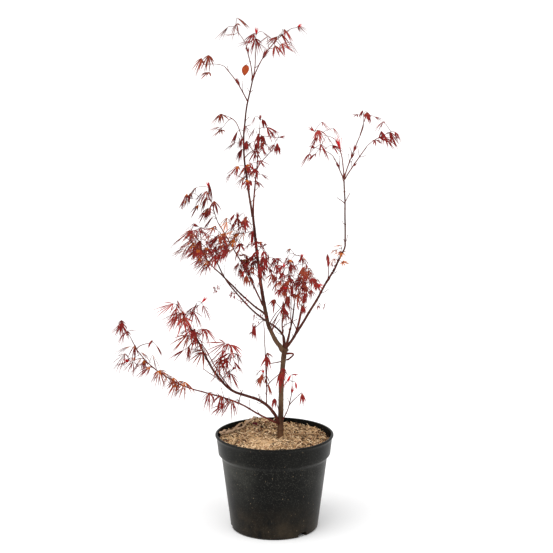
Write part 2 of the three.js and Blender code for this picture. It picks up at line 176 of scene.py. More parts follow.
# ---------- mulch ----------
MULCH_TINTS = {
    "cream": (0.9, 0.66, 0.41),
    "straw": (0.6, 0.39, 0.205),
    "tan": (0.34, 0.2, 0.1),
    "brown": (0.11, 0.056, 0.03),
    "dark": (0.022, 0.012, 0.008),
    "rust": (0.26, 0.1, 0.05),
    "wine": (0.1, 0.008, 0.016),
    "green": (0.16, 0.24, 0.04),
    "strip": (0.4, 0.27, 0.175),
}
# Shares of the tints in the pale patch at the front left, and far from it.
PALE_SHARES = (48, 34, 11, 4, 3, 1.5, 0.1, 0.15, 0)
DULL_SHARES = (18, 26, 24, 14, 13, 5, 0.4, 0.05, 0)
PALE_PATCH = (-25 * MM, -50 * MM, 62 * MM)  # its middle and its spread
FLAKES, SPLINTERS, CURLS = 2700, 2900, 1900
# Strips of bark on top of the chips: start, end, width and lift in mm.
STRIPS = (
    ((-114, 12), (-80, 84), 9, 7),
    ((-88, 46), (-64, 86), 8, 6),
    ((-68, 80), (-40, 112), 9, 6),
    ((-129, 12), (-112, 40), 10, 7),
    ((-127, 4), (-96, 26), 4, 6),
)
HOLE = (25 * MM, 18 * MM, 5 * MM)  # a gap beside the trunk: its place and radius


# ---------- mesh making ----------
class Pile:
    """Corners and faces of many small things that become one piece."""

    def __init__(self):
        self.points = []
        self.faces = []

    def add(self, points, faces):
        start = len(self.points)
        self.points.extend(tuple(map(float, p)) for p in points)
        self.faces.extend(tuple(start + i for i in face) for face in faces)

    def piece(self, name, material, slot, nodes=(), smooth=True):
        mesh = bpy.data.meshes.new(name)
        mesh.from_pydata(self.points, [], self.faces)
        mesh.polygons.foreach_set("use_smooth", [smooth] * len(mesh.polygons))
        mesh.materials.append(material)
        return placed(name, mesh, nodes)


def placed(name, mesh, nodes=()):
    piece = bpy.data.objects.new(name, mesh)
    bpy.context.scene.collection.objects.link(piece)
    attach(piece, "root")
    if nodes:
        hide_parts(*nodes)
    return piece


def unit(vector):
    return vector / max(np.linalg.norm(vector), 1e-9)


def across(vector):
    """A unit vector square to this one."""
    helper = np.array([1.0, 0, 0]) if abs(vector[0]) < 0.8 * np.linalg.norm(vector) else np.array([0, 1.0, 0])
    return unit(np.cross(vector, helper))


def resampled(line, step):
    line = np.asarray(line, float)
    lengths = np.r_[0, np.cumsum(np.linalg.norm(np.diff(line, axis=0), axis=1))]
    count = max(3, int(round(lengths[-1] / step)) + 1)
    places = np.linspace(0, lengths[-1], count)
    return np.stack([np.interp(places, lengths, line[:, i]) for i in range(3)], axis=1), places


def tube(line, radii, sides):
    """Corners and faces of a closed tube. radii is one number a ring or one a corner."""
    line = np.asarray(line, float)
    radii = np.asarray(radii, float)
    if radii.ndim == 1:
        radii = np.repeat(radii[:, None], sides, axis=1)
    tangents = np.gradient(line, axis=0)
    tangents /= np.maximum(np.linalg.norm(tangents, axis=1), 1e-9)[:, None]
    angles = np.arange(sides) / sides * 2 * math.pi
    normal = across(tangents[0])
    points = []
    for centre, tangent, ring in zip(line, tangents, radii):
        normal = unit(normal - tangent * normal.dot(tangent))
        binormal = np.cross(tangent, normal)
        spokes = np.cos(angles)[:, None] * normal + np.sin(angles)[:, None] * binormal
        points.append(centre + spokes * ring[:, None])
    faces = [
        (r * sides + i, r * sides + (i + 1) % sides, (r + 1) * sides + (i + 1) % sides, (r + 1) * sides + i)
        for r in range(len(line) - 1)
        for i in range(sides)
    ]
    last = (len(line) - 1) * sides
    faces.append(tuple(range(sides - 1, -1, -1)))
    faces.append(tuple(range(last, last + sides)))
    return np.concatenate(points), faces


def hermite(start, end, start_pull, end_pull, count):
    u = np.linspace(0, 1, count)[:, None]
    return (
        (2 * u**3 - 3 * u**2 + 1) * start
        + (u**3 - 2 * u**2 + u) * start_pull
        + (-2 * u**3 + 3 * u**2) * end
        + (u**3 - u**2) * end_pull
    )


# ---------- materials ----------
class Nodes:
    """Short words for building a node material."""

    def __init__(self, name, colour, roughness):
        self.material = bpy.data.materials.new(name)
        self.material.use_nodes = True
        self.tree = self.material.node_tree
        self.shader = self.tree.nodes["Principled BSDF"]
        self.shader.inputs["Base Color"].default_value = (*colour, 1)
        self.shader.inputs["Roughness"].default_value = roughness
        self.shader.inputs["Specular IOR Level"].default_value = 0.08
        self.places = self.tree.nodes.new("ShaderNodeTexCoord").outputs["Object"]

    def link(self, source, target):
        self.tree.links.new(source, target)

    def noise(self, scale, detail=4, roughness=0.6, stretch=(1, 1, 1)):
        mapping = self.tree.nodes.new("ShaderNodeMapping")
        mapping.inputs["Scale"].default_value = stretch
        self.link(self.places, mapping.inputs["Vector"])
        pattern = self.tree.nodes.new("ShaderNodeTexNoise")
        pattern.inputs["Scale"].default_value = scale
        pattern.inputs["Detail"].default_value = detail
        pattern.inputs["Roughness"].default_value = roughness
        self.link(mapping.outputs["Vector"], pattern.inputs["Vector"])
        return pattern.outputs["Fac"]

    def specks(self, scale, size, stretch=(1, 1, 1)):
        """1 at scattered round specks and 0 between them."""
        mapping = self.tree.nodes.new("ShaderNodeMapping")
        mapping.inputs["Scale"].default_value = stretch
        self.link(self.places, mapping.inputs["Vector"])
        cells = self.tree.nodes.new("ShaderNodeTexVoronoi")
        cells.inputs["Scale"].default_value = scale
        self.link(mapping.outputs["Vector"], cells.inputs["Vector"])
        return self.ramp(cells.outputs["Distance"], ((0, (1, 1, 1)), (size, (1, 1, 1)), (size * 1.6, (0, 0, 0))))

    def ramp(self, source, stops):
        ramp = self.tree.nodes.new("ShaderNodeValToRGB")
        elements = ramp.color_ramp.elements
        while len(elements) < len(stops):
            elements.new(0.5)
        for element, (place, colour) in zip(elements, stops):
            element.position = place
            element.color = (*colour, 1)
        self.link(source, ramp.inputs["Fac"])
        return ramp.outputs["Color"]

    def mix(self, share, first, second, kind="MIX"):
        mix = self.tree.nodes.new("ShaderNodeMix")
        mix.data_type = "RGBA"
        mix.blend_type = kind
        for socket, value in zip((mix.inputs["Factor"], mix.inputs[6], mix.inputs[7]), (share, first, second)):
            if isinstance(value, (int, float)):
                socket.default_value = value
            elif isinstance(value, tuple):
                socket.default_value = (*value, 1)
            else:
                self.link(value, socket)
        return mix.outputs[2]

    def maths(self, kind, first, second):
        step = self.tree.nodes.new("ShaderNodeMath")
        step.operation = kind
        step.use_clamp = True
        for socket, value in zip(step.inputs, (first, second)):
            if isinstance(value, (int, float)):
                socket.default_value = value
            else:
                self.link(value, socket)
        return step.outputs["Value"]

    def span(self, axis, low, high):
        """0 below the low place along an axis, 1 above the high one."""
        split = self.tree.nodes.new("ShaderNodeSeparateXYZ")
        self.link(self.places, split.inputs["Vector"])
        span = self.tree.nodes.new("ShaderNodeMapRange")
        span.inputs["From Min"].default_value = low
        span.inputs["From Max"].default_value = high
        self.link(split.outputs[axis], span.inputs["Value"])
        return span.outputs["Result"]

    def colour(self, source):
        self.link(source, self.shader.inputs["Base Color"])

    def roughness(self, source, low, high):
        self.link(self.ramp(source, ((0, (low,) * 3), (1, (high,) * 3))), self.shader.inputs["Roughness"])

    def bump(self, source, strength, distance):
        bump = self.tree.nodes.new("ShaderNodeBump")
        bump.inputs["Strength"].default_value = strength
        bump.inputs["Distance"].default_value = distance
        self.link(source, bump.inputs["Height"])
        self.link(bump.outputs["Normal"], self.shader.inputs["Normal"])


def shade(colour, by):
    return tuple(min(1.0, c * by) for c in colour)


def bark_material(kind):
    dark, pale, red = BARK_COLOURS[kind]
    nodes = Nodes(f"bark_{kind}", dark, 0.6)
    streaks = nodes.noise(90, 6, 0.65, (1.6, 1.6, 0.22))
    mottle = nodes.noise(28, 4, 0.6)
    base = nodes.ramp(streaks, ((0.3, dark), (0.55, red), (0.78, pale)))
    blotches = nodes.ramp(mottle, ((0.42, (0, 0, 0)), (0.7, (0.55,) * 3)))
    patchy = nodes.mix(blotches, base, shade(pale, 1.15))
    if kind == "trunk":
        foot = nodes.span("Z", 0.205, 0.262)
        patchy = nodes.mix(foot, nodes.mix(nodes.maths("MULTIPLY", mottle, 0.9), patchy, (0.2, 0.095, 0.035)), patchy)
        dark, pale, red = BARK_COLOURS["limb"]
        young = nodes.ramp(streaks, ((0.3, dark), (0.55, red), (0.78, pale)))
        patchy = nodes.mix(nodes.span("Z", 0.44, 0.58), patchy, young)
    lenticels = nodes.specks(420, 0.11, (1, 1, 2.2))
    nodes.colour(nodes.mix(nodes.maths("MULTIPLY", lenticels, 0.5), patchy, shade(pale, 1.5)))
    nodes.roughness(streaks, 0.42, 0.78)
    nodes.bump(nodes.noise(520, 5, 0.7, (1, 1, 0.35)), 0.5, 0.4 * MM)
    return nodes.material


def leaf_material(name, colour):
    nodes = Nodes(f"leaf_{name}", colour, 0.5)
    mottle = nodes.noise(140, 3, 0.55)
    nodes.colour(nodes.ramp(mottle, ((0.3, shade(colour, 0.72)), (0.55, colour), (0.8, shade(colour, 1.35)))))
    nodes.roughness(mottle, 0.38, 0.62)
    nodes.bump(nodes.noise(900, 2, 0.5), 0.25, 0.2 * MM)
    return nodes.material


def chip_material(name, colour):
    nodes = Nodes(f"mulch_{name}", colour, 0.9)
    grain = nodes.noise(260, 5, 0.7, (1, 1, 3))
    nodes.colour(nodes.ramp(grain, ((0.25, shade(colour, 0.55)), (0.52, colour), (0.82, shade(colour, 1.3)))))
    nodes.bump(grain, 0.6, 0.5 * MM)
    return nodes.material


def bed_material():
    # Very dark brown: partly the colour of compost and partly painted shade, so that the gaps between the chips read
    # dark.
    nodes = Nodes("mulch_bed", (0.07, 0.04, 0.025), 0.95)
    clods = nodes.noise(160, 6, 0.7)
    nodes.colour(nodes.ramp(clods, ((0.3, (0.01, 0.006, 0.004)), (0.55, (0.045, 0.026, 0.015)), (0.8, (0.13, 0.08, 0.045)))))
    nodes.bump(clods, 0.9, 1.5 * MM)
    return nodes.material


def plastic_material(height):
    """Black moulded plastic with a dusty bloom, a paler film on the left and right of its upper body that is partly
    dust and partly painted sheen, pale grit stuck to it and tan soil near the foot.
    """
    nodes = Nodes("pot_plastic", (0.003, 0.003, 0.0025), 0.35)
    nodes.shader.inputs["Specular IOR Level"].default_value = 0.09
    bloom = nodes.noise(9, 4, 0.6, (1, 1, 0.6))
    base = nodes.ramp(bloom, ((0.4, (0.0012, 0.0012, 0.001)), (0.75, (0.006, 0.006, 0.005))))
    # Painted sheen: a paler film on the left and right of the upper body, kept off the band under the lip, stands for
    # the soft reflections of the side lamps, mixed with real dust.
    left = nodes.maths("SUBTRACT", 1.0, nodes.span("X", -0.11, -0.01))
    right = nodes.maths("MULTIPLY", nodes.span("X", 0.05, 0.13), 0.8)
    band = nodes.maths("MULTIPLY", nodes.span("Z", 0.78 * height, 0.84 * height), 0.7)
    upper = nodes.maths("SUBTRACT", nodes.span("Z", 0.3 * height, 0.6 * height), band)
    sides = nodes.maths("MULTIPLY", nodes.maths("ADD", left, right), upper)
    dust_and_sheen = nodes.maths("MULTIPLY", sides, nodes.ramp(nodes.noise(16, 4, 0.6), ((0.3, (0, 0, 0)), (0.7, (1,) * 3))))
    # Mixes in the paler film of dust and painted sheen.
    base = nodes.mix(nodes.maths("MULTIPLY", dust_and_sheen, 0.75), base, (0.055, 0.055, 0.047))
    scuffs = nodes.ramp(nodes.noise(260, 5, 0.8), ((0.55, (0, 0, 0)), (0.8, (0.8,) * 3)))
    base = nodes.mix(scuffs, base, (0.03, 0.03, 0.026))
    low = nodes.maths("SUBTRACT", 1.0, nodes.span("Z", -0.05 * height, 0.42 * height))
    dirt = nodes.ramp(nodes.noise(26, 5, 0.65), ((0.35, (0, 0, 0)), (0.75, (0.6,) * 3)))
    base = nodes.mix(nodes.maths("MULTIPLY", low, dirt), base, (0.07, 0.048, 0.027))
    patchy = nodes.ramp(nodes.noise(24, 2), ((0.38, (0, 0, 0)), (0.6, (1, 1, 1))))
    fine = nodes.maths("MULTIPLY", nodes.specks(330, 0.16), nodes.maths("ADD", nodes.maths("MULTIPLY", upper, 0.5), 0.3))
    base = nodes.mix(fine, base, (0.085, 0.083, 0.07))
    grit = nodes.maths("MULTIPLY", nodes.specks(112, 0.06, (1, 1, 0.7)), patchy)
    base = nodes.mix(nodes.maths("MULTIPLY", grit, 0.7), base, (0.36, 0.27, 0.17))
    nodes.colour(base)
    nodes.roughness(nodes.noise(18, 5, 0.65), 0.26, 0.46)
    nodes.bump(nodes.noise(700, 3, 0.6), 0.12, 0.3 * MM)
    return nodes.material


def compost_material():
    nodes = Nodes("compost", (0.05, 0.032, 0.022), 0.95)
    crumbs = nodes.noise(220, 6, 0.7)
    nodes.colour(nodes.ramp(crumbs, ((0.3, (0.015, 0.01, 0.007)), (0.6, (0.06, 0.038, 0.025)), (0.85, (0.16, 0.1, 0.06)))))
    nodes.bump(crumbs, 0.8, 1 * MM)
    return nodes.material


# ---------- limb routes, read from the frame ----------
def merged(node):
    solid = bmesh.new()
    solid.from_mesh(frame["nodes"][node].data)
    bmesh.ops.remove_doubles(solid, verts=solid.verts, dist=0.01 * MM)
    bmesh.ops.triangulate(solid, faces=solid.faces)
    solid.verts.index_update()
    return solid


def walk(solid, start):
    """Each corner's distance from the start corner, along the edges."""
    solid.verts.ensure_lookup_table()
    far = np.full(len(solid.verts), np.inf)
    far[start] = 0
    queue = [(0.0, start)]
    while queue:
        here, index = heapq.heappop(queue)
        if here > far[index]:
            continue
        corner = solid.verts[index]
        for edge in corner.link_edges:
            other = edge.other_vert(corner).index
            there = here + edge.calc_length()
            if there < far[other]:
                far[other] = there
                heapq.heappush(queue, (there, other))
    return far


def surface_spots(solid, along, grid=6):
    """Points spread evenly over each face, with their share of its area and their place along the limb."""
    spots, weights, places = [], [], []
    steps = [(i / grid, j / grid) for i in range(grid + 1) for j in range(grid + 1 - i)]
    for face in solid.faces:
        corners = np.array([v.co[:] for v in face.verts])
        ends = np.array([along[v.index] for v in face.verts])
        mixing = np.array([(a, b, 1 - a - b) for a, b in steps])
        spots.append(mixing @ corners)
        places.append(mixing @ ends)
        weights.append(np.full(len(steps), face.calc_area()))
    return np.concatenate(spots), np.concatenate(places), np.concatenate(weights)


def limb_route(node, spread=9 * MM):
    """The middle line of a limb's solid, its radius at each point and its two end points."""
    solid = merged(node)
    first = int(np.argmax(walk(solid, 0)))
    from_first = walk(solid, first)
    last = int(np.argmax(from_first))
    from_last = walk(solid, last)
    length = from_first[last]
    along = (from_first - from_last + length) / 2
    spots, places, weights = surface_spots(solid, along)
    centres = np.linspace(0, length, max(4, int(length / (8 * MM))))
    line = []
    for centre in centres:
        pull = weights * np.exp(-(((places - centre) / spread) ** 2))
        line.append((spots * pull[:, None]).sum(axis=0) / pull.sum())
    line = np.array(line)
    corners = np.array([v.co[:] for v in solid.verts])
    for index, end in ((0, 0), (-1, length)):
        near = np.abs(along - end) < 3 * MM
        line[index] = corners[near].mean(axis=0)
    line, _ = resampled(line, 4 * MM)
    tangents = np.gradient(line, axis=0)
    tangents /= np.linalg.norm(tangents, axis=1)[:, None]
    radii = []
    for centre, tangent in zip(line, tangents):
        out = spots - centre
        pull = weights * (np.linalg.norm(out, axis=1) < 10 * MM)
        off = np.linalg.norm(out - (out @ tangent)[:, None] * tangent, axis=1)
        radii.append((off * pull).sum() / max(pull.sum(), 1e-12))
    solid.free()
    shares = np.linspace(0, 1, len(radii))
    trend = np.polyfit(shares, radii, 2 if node == "trunk" else 1)
    return line.round(ROUTE_DIGITS), (np.polyval(trend, shares) * 1.04).round(ROUTE_DIGITS)


def nearest_on(route, point):
    line, radii = route
    gaps = np.linalg.norm(line - point, axis=1)
    index = int(np.argmin(gaps))
    return index, gaps[index]


def read_limbs():
    """Each limb's route, foot first, running on from the middle of the limb that it grows from."""
    routes = {}
    for node in LIMBS:
        line, radii = limb_route(node)
        if node == "trunk":
            if line[0][2] > line[-1][2]:
                line, radii = line[::-1], radii[::-1]
            routes[node] = (line, radii)
            continue
        feet = []
        for flip in (False, True):
            end = line[-1] if flip else line[0]
            for parent, route in routes.items():
                index, gap = nearest_on(route, end)
                feet.append((gap - route[1][index], flip, parent, index))
        _, flip, parent, index = min(feet)
        if flip:
            line, radii = line[::-1], radii[::-1]
        start = routes[parent][0][index]
        line = np.vstack([start, line]) if np.linalg.norm(start - line[0]) > 1 * MM else line
        radii = np.r_[radii[0], radii] if len(line) > len(radii) else radii
        routes[node] = (line, radii)
    return routes


# ---------- bark meshes ----------
def smooth_line(line, rounds=2):
    for _ in range(rounds):
        line = np.vstack([line[:1], (line[:-2] + 2 * line[1:-1] + line[2:]) / 4, line[-1:]])
    return line


def limb_nodes(places, rng):
    """Places along a limb where leaves once stood."""
    found = []
    place = rng.uniform(*INTERNODE)
    while place < places[-1] - 6 * MM:
        found.append(place)
        place += rng.uniform(*INTERNODE)
    return found


def bark_limb(pile, node, route, rng):
    """Adds a limb with a collar at its foot, rings at its nodes and a grained surface."""
    line, radii = route
    trunk = node == "trunk"
    step = 1.2 * MM if trunk else LIMB_STEP
    sides = 40 if trunk else (16 if radii[0] > 2.5 * MM else 10)
    fine, places = resampled(smooth_line(line), step)
    shares = np.linspace(0, places[-1], len(radii))
    thick = np.interp(places, shares, radii)
    if trunk:
        thick = thick + 0.8 * MM * np.exp(-places / (13 * MM)) + 1.2 * MM * np.exp(-((places - places[-1]) / 9e-3) ** 2)
    else:
        thick = thick * (1 + 0.55 * np.exp(-places / (2.2 * radii[0] + 2 * MM)))
        sway = [noise.noise_vector(Vector(p) * 22) for p in fine]
        fade = np.minimum(1, places / (25 * MM))[:, None]
        fine = fine + np.array([s[:] for s in sway]) * 1.3 * MM * fade
    rings = limb_nodes(places, rng)
    for place in rings:
        thick = thick * (1 + 0.13 * np.exp(-(((places - place) / (1.6 * MM)) ** 2)))
    angles = np.arange(sides) / sides * 2 * math.pi
    relief = np.empty((len(fine), sides))
    for i, place in enumerate(places):
        for j, angle in enumerate(angles):
            spot = Vector((math.cos(angle) * 1.7, math.sin(angle) * 1.7, place * 60))
            ridge = noise.noise(spot * (2.4 if trunk else 1.3))
            lumps = noise.noise(Vector((math.cos(angle), math.sin(angle), place * 240)) * 1.6)
            flutes = math.sin(angle * 5 + place * 30) * math.exp(-place / 0.02) if trunk else 0
            relief[i, j] = 1 + 0.055 * ridge + 0.045 * lumps + 0.1 * flutes
    thick = np.maximum(thick, 0.7 * MM)
    radii_all = thick[:, None] * relief
    radii_all[-1] *= 0.55
    pile.add(*tube(fine, radii_all, sides))
    return fine, places, thick, rings


def bud(pile, base, direction, size):
    """A pointed bud of a few rings."""
    shares = np.array([0, 0.25, 0.6, 1])
    line = base + shares[:, None] * direction * size
    pile.add(*tube(line, size * np.array([0.3, 0.36, 0.24, 0.03]), 6))


def spur(pile, base, direction, length, rng):
    """A short bare side twig that ends in a bud."""
    bend = direction * length + UP * length * 0.25
    line = hermite(base, base + bend, direction * length, unit(direction + UP) * length, 6)
    pile.add(*tube(line, np.linspace(0.75, 0.5, 6) * MM, 6))
    bud(pile, line[-1], unit(line[-1] - line[-2]), rng.uniform(2, 3.5) * MM)


def clothe_limb(pile, fine, places, thick, rings, rng):
    """Buds and spurs stand in opposite pairs, each pair square to the last."""
    turn = rng.uniform(0, math.pi)
    for place in rings:
        i = int(np.searchsorted(places, place))
        tangent = unit(fine[min(i + 1, len(fine) - 1)] - fine[i - 1])
        side = across(tangent)
        other = np.cross(tangent, side)
        turn += math.pi / 2
        for sign in (1, -1):
            out = (side * math.cos(turn) + other * math.sin(turn)) * sign
            base = fine[i] + out * thick[i] * 0.8
            aim = unit(out + tangent * 0.9)
            if thick[i] < 3.6 * MM and rng.random() < SPUR_CHANCE:
                spur(pile, base, aim, rng.uniform(5, 20) * MM, rng)
            elif thick[i] < 5 * MM:
                bud(pile, base, aim, rng.uniform(1.6, 2.6) * MM)


# ---------- leaves ----------
def lobe_mesh(path, width, lift):
    """A strap along the path: an edge, a midrib set a little lower, and an edge, with small teeth."""
    count = len(path)
    shares = np.linspace(0, 1, count)
    profile = np.interp(shares, (0, 0.12, 0.28, 0.45, 0.65, 0.82, 1), (0.34, 0.55, 0.92, 1, 0.7, 0.36, 0.03))
    teeth = 1 + 0.12 * np.where(np.arange(count) % 2, 1, -1) * (shares > 0.25)
    half = width / 2 * profile * teeth
    along = np.gradient(path, axis=0)
    along /= np.maximum(np.linalg.norm(along, axis=1), 1e-9)[:, None]
    side = np.cross(along, lift)
    side /= np.maximum(np.linalg.norm(side, axis=1), 1e-9)[:, None]
    up = np.cross(side, along)
    left = path + side * half[:, None] + up * half[:, None] * 0.35
    right = path - side * half[:, None] + up * half[:, None] * 0.35
    points = np.stack([left, path, right], axis=1)
    return points


def strap(pile, points):
    count = len(points)
    faces = []
    for i in range(count - 1):
        a = i * 3
        faces.append((a, a + 1, a + 4, a + 3))
        faces.append((a + 1, a + 2, a + 5, a + 4))
    pile.add(points.reshape(-1, 3), faces)


def draw_leaf(node, out, style, rng, reach):
    """A leaf's petiole and lobes as paths, hanging from an arched petiole. reach scales its size."""
    length = rng.uniform(*style["petiole"]) * MM * reach
    aim = unit(out + UP * rng.uniform(0.15, 0.9))
    droop = rng.uniform(0.1, 0.55)
    u = np.linspace(0, 1, 7)[:, None]
    petiole = node + aim * length * u - UP * length * droop * u**2
    heading = petiole[-1] - petiole[-2]
    flat = unit(heading * (1, 1, 0))
    tilt = math.radians(rng.uniform(*style["tilt"]))
    forward = flat * math.cos(tilt) - UP * math.sin(tilt)
    level = np.cross(UP, flat)
    roll = rng.gauss(0, 0.35)
    side = unit(level * math.cos(roll) + np.cross(forward, level) * math.sin(roll))
    lift = unit(np.cross(forward, side))
    closed = rng.random() < style["closed"]
    fan = rng.uniform(0.08, 0.2) if closed else rng.uniform(*style["fan"])
    size = rng.uniform(*style["lobe"]) * MM * reach
    sag = rng.uniform(0.06, 0.3)
    v = np.linspace(0, 1, LOBE_STEPS + 1)[:, None]
    lobes = []
    for angle, share in list(zip(LOBE_ANGLES, LOBE_SHARES))[: rng.choice((5, 7, 7))]:
        turn = math.radians(angle * fan + rng.gauss(0, 5))
        way = forward * math.cos(turn) + side * math.sin(turn) + lift * rng.gauss(0, 0.1)
        long = size * share * rng.uniform(0.85, 1.12)
        bow = side * rng.gauss(0, 0.05) - side * math.sin(turn) * 0.08
        lobes.append(petiole[-1] + way * long * v - UP * long * sag * v**1.8 + bow * long * v**2)
    width = style["width"] * rng.uniform(0.85, 1.15) * (0.6 + 0.4 * reach) * MM
    return {"petiole": petiole, "lobes": lobes, "lift": lift, "width": width}


class Room:
    """The space that one mass fills: what lies inside it and where its leaves are already."""

    def __init__(self, node):
        self.tree = tree_of(node)
        self.low, self.high = (np.array(corner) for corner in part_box(node))
        self.taken = np.empty((0, 3))

    def depth(self, point):
        return depth_in(self.tree, point)

    def misfit(self, leaf):
        """How far the lobes reach out of the room, less how clear they are of other leaves."""
        tips = np.array([lobe[-1] for lobe in leaf["lobes"]])
        beyond = np.maximum(LEAST - tips, tips - MOST).max()
        outside = sum(max(0.0, -self.depth(tip) - 12 * MM) for tip in tips) / len(tips) + 8 * max(0.0, beyond)
        middles = np.array([lobe[LOBE_STEPS // 2] for lobe in leaf["lobes"]])
        if not len(self.taken):
            return outside
        gaps = np.linalg.norm(middles[:, None] - self.taken[None], axis=2).min(axis=1)
        return outside - 0.8 * np.minimum(gaps, 22 * MM).mean()

    def take(self, leaf):
        middles = np.array([lobe[LOBE_STEPS // 2] for lobe in leaf["lobes"]])
        self.taken = np.vstack([self.taken, middles])


def best_leaf(node, out, style, room, rng):
    """The best fitting of several random leaves."""
    tries = []
    for attempt in range(20):
        if attempt > 11 and min(tries)[0] < 20 * MM:
            break
        reach = 1 - 0.0012 * attempt**2
        swing = np.array([rng.gauss(0, 0.45), rng.gauss(0, 0.45), rng.gauss(0, 0.2)])
        leaf = draw_leaf(node, unit(out + swing), style, rng, reach)
        tries.append((room.misfit(leaf) + attempt * 0.35 * MM, attempt, leaf))
    leaf = min(tries)[2]
    room.take(leaf)
    return leaf


def add_leaf(piles, leaf, blade, hub, rng):
    lift = leaf["lift"]
    piles["petioles"].add(*tube(leaf["petiole"], np.linspace(0.7, 0.5, len(leaf["petiole"])) * MM, 5))
    for lobe in leaf["lobes"]:
        points = lobe_mesh(lobe, leaf["width"] * rng.uniform(0.85, 1.1), lift)
        strap(piles[hub], points[: HUB_SHARE + 1])
        strap(piles[blade], points[HUB_SHARE:])


def young_leaf(piles, node, aim, blade, rng, long=(11, 20)):
    """A small unfolding leaf, its lobes still bunched and pointing along the shoot."""
    side = across(aim)
    other = np.cross(aim, side)
    size = rng.uniform(*long) * MM
    for i in range(5):
        angle = i / 5 * 2 * math.pi
        out = side * math.cos(angle) + other * math.sin(angle)
        way = unit(aim + out * rng.uniform(0.08, 0.3))
        v = np.linspace(0, 1, 7)[:, None]
        path = node + way * size * v + out * size * 0.12 * v**2
        strap(piles[blade], lobe_mesh(path, 3.0 * MM, out))


# ---------- growth ----------
def tree_of(node):
    solid = merged(node)
    found = BVHTree.FromBMesh(solid)
    solid.free()
    return found


def depth_in(tree, point):
    """How deep a point lies inside a closed mesh; negative outside."""
    place, normal, _, gap = tree.find_nearest(Vector(point))
    inside = (Vector(point) - place).dot(normal) < 0
    return gap if inside else -gap


def inner_point(room, others, rng, style):
    """Where a shoot ends so that its leaves, which hang down and outwards, lie inside the mass."""
    best, score = (room.low + room.high) / 2, -1
    bottom = room.low[2] + style.get("floor", 0.3) * (room.high[2] - room.low[2])
    for _ in range(50):
        point = np.array([
            rng.uniform(room.low[0], room.high[0]),
            rng.uniform(room.low[1], room.high[1]),
            rng.uniform(bottom, room.high[2]),
        ])
        deep = room.depth(point)
        if deep < 4 * MM:
            continue
        point = point + unit((STEM_FOOT - point) * (1, 1, 0)) * style.get("inward", 0) * MM
        apart = min([np.linalg.norm(point - other) for other in others], default=0.05)
        value = min(apart, 0.05) + 0.25 * min(deep, 20 * MM)
        if value > score:
            best, score = point, value
    return best


def choose_site(sites, target):
    """The limb or twig point that a shoot to the target would leave from."""

    def cost(site):
        way = target - site["point"]
        gap = np.linalg.norm(way)
        ahead = way.dot(site["way"]) / max(gap, 1e-6)
        return gap * (1.35 - 0.35 * ahead) + site["age"] * 2 * MM

    return min(sites, key=cost)


def shoot_line(site, target, rng):
    way = target - site["point"]
    gap = np.linalg.norm(way)
    start_pull = unit(site["way"] * 0.8 + unit(way) + UP * 0.25) * gap
    end_pull = unit(unit(way) + UP * rng.uniform(-0.3, 0.4)) * gap
    count = max(6, int(gap / (3 * MM)))
    line = hermite(site["point"], target, start_pull, end_pull, count)
    thick = min(site["radius"] * 0.8, (0.62 + gap * 7) * MM)
    return line, np.linspace(max(thick, 0.6 * MM), 0.55 * MM, count)


def leafy_places(line, rng, first):
    """Indices along a line where leaf pairs stand, from its tip back to the first index."""
    step = np.linalg.norm(line[-1] - line[-2])
    found = [len(line) - 1]
    while True:
        following = found[-1] - max(2, int(rng.uniform(*INTERNODE_LEAFY) / step))
        if following <= first:
            return found
        found.append(following)


def leader_target(tip, room, rng):
    """The point inside the mass that lies farthest on from a limb's tip."""
    best, score = tip["point"] + tip["way"] * 0.02, 0
    for _ in range(80):
        point = np.array([rng.uniform(a, b) for a, b in zip(room.low, room.high)])
        if room.depth(point) < 7 * MM:
            continue
        out = point - tip["point"]
        on = out.dot(unit(tip["way"] + UP * 0.3))
        value = on - 0.35 * np.linalg.norm(out - tip["way"] * on)
        if value > score:
            best, score = point, value
    return best


def leaf_pair(piles, line, index, turn, style, tints, room, rng):
    tangent = unit(line[min(index + 1, len(line) - 1)] - line[index - 1])
    level = unit(np.cross(tangent, UP) + 1e-3)
    other = np.cross(tangent, level)
    for sign in (1, -1):
        out = unit((level * math.cos(turn) + other * math.sin(turn)) * sign + tangent * 0.45)
        out = unit(out + unit((line[index] - STEM_FOOT) * (1, 1, 0)) * style["outward"])
        add_leaf(piles, best_leaf(line[index], out, style, room, rng), *tints, rng)
    return 2


def spray_tints(node, style, rng):
    """One tint for a spray's blades and one for its hubs."""
    blade = rng.choice(style["tints"])
    if node.startswith(("low", "left")) and rng.random() < 0.4:
        return blade, "orange" if rng.random() < 0.6 else "russet"
    return blade, rng.choice(HUB_TINTS) if rng.random() < 0.3 else blade


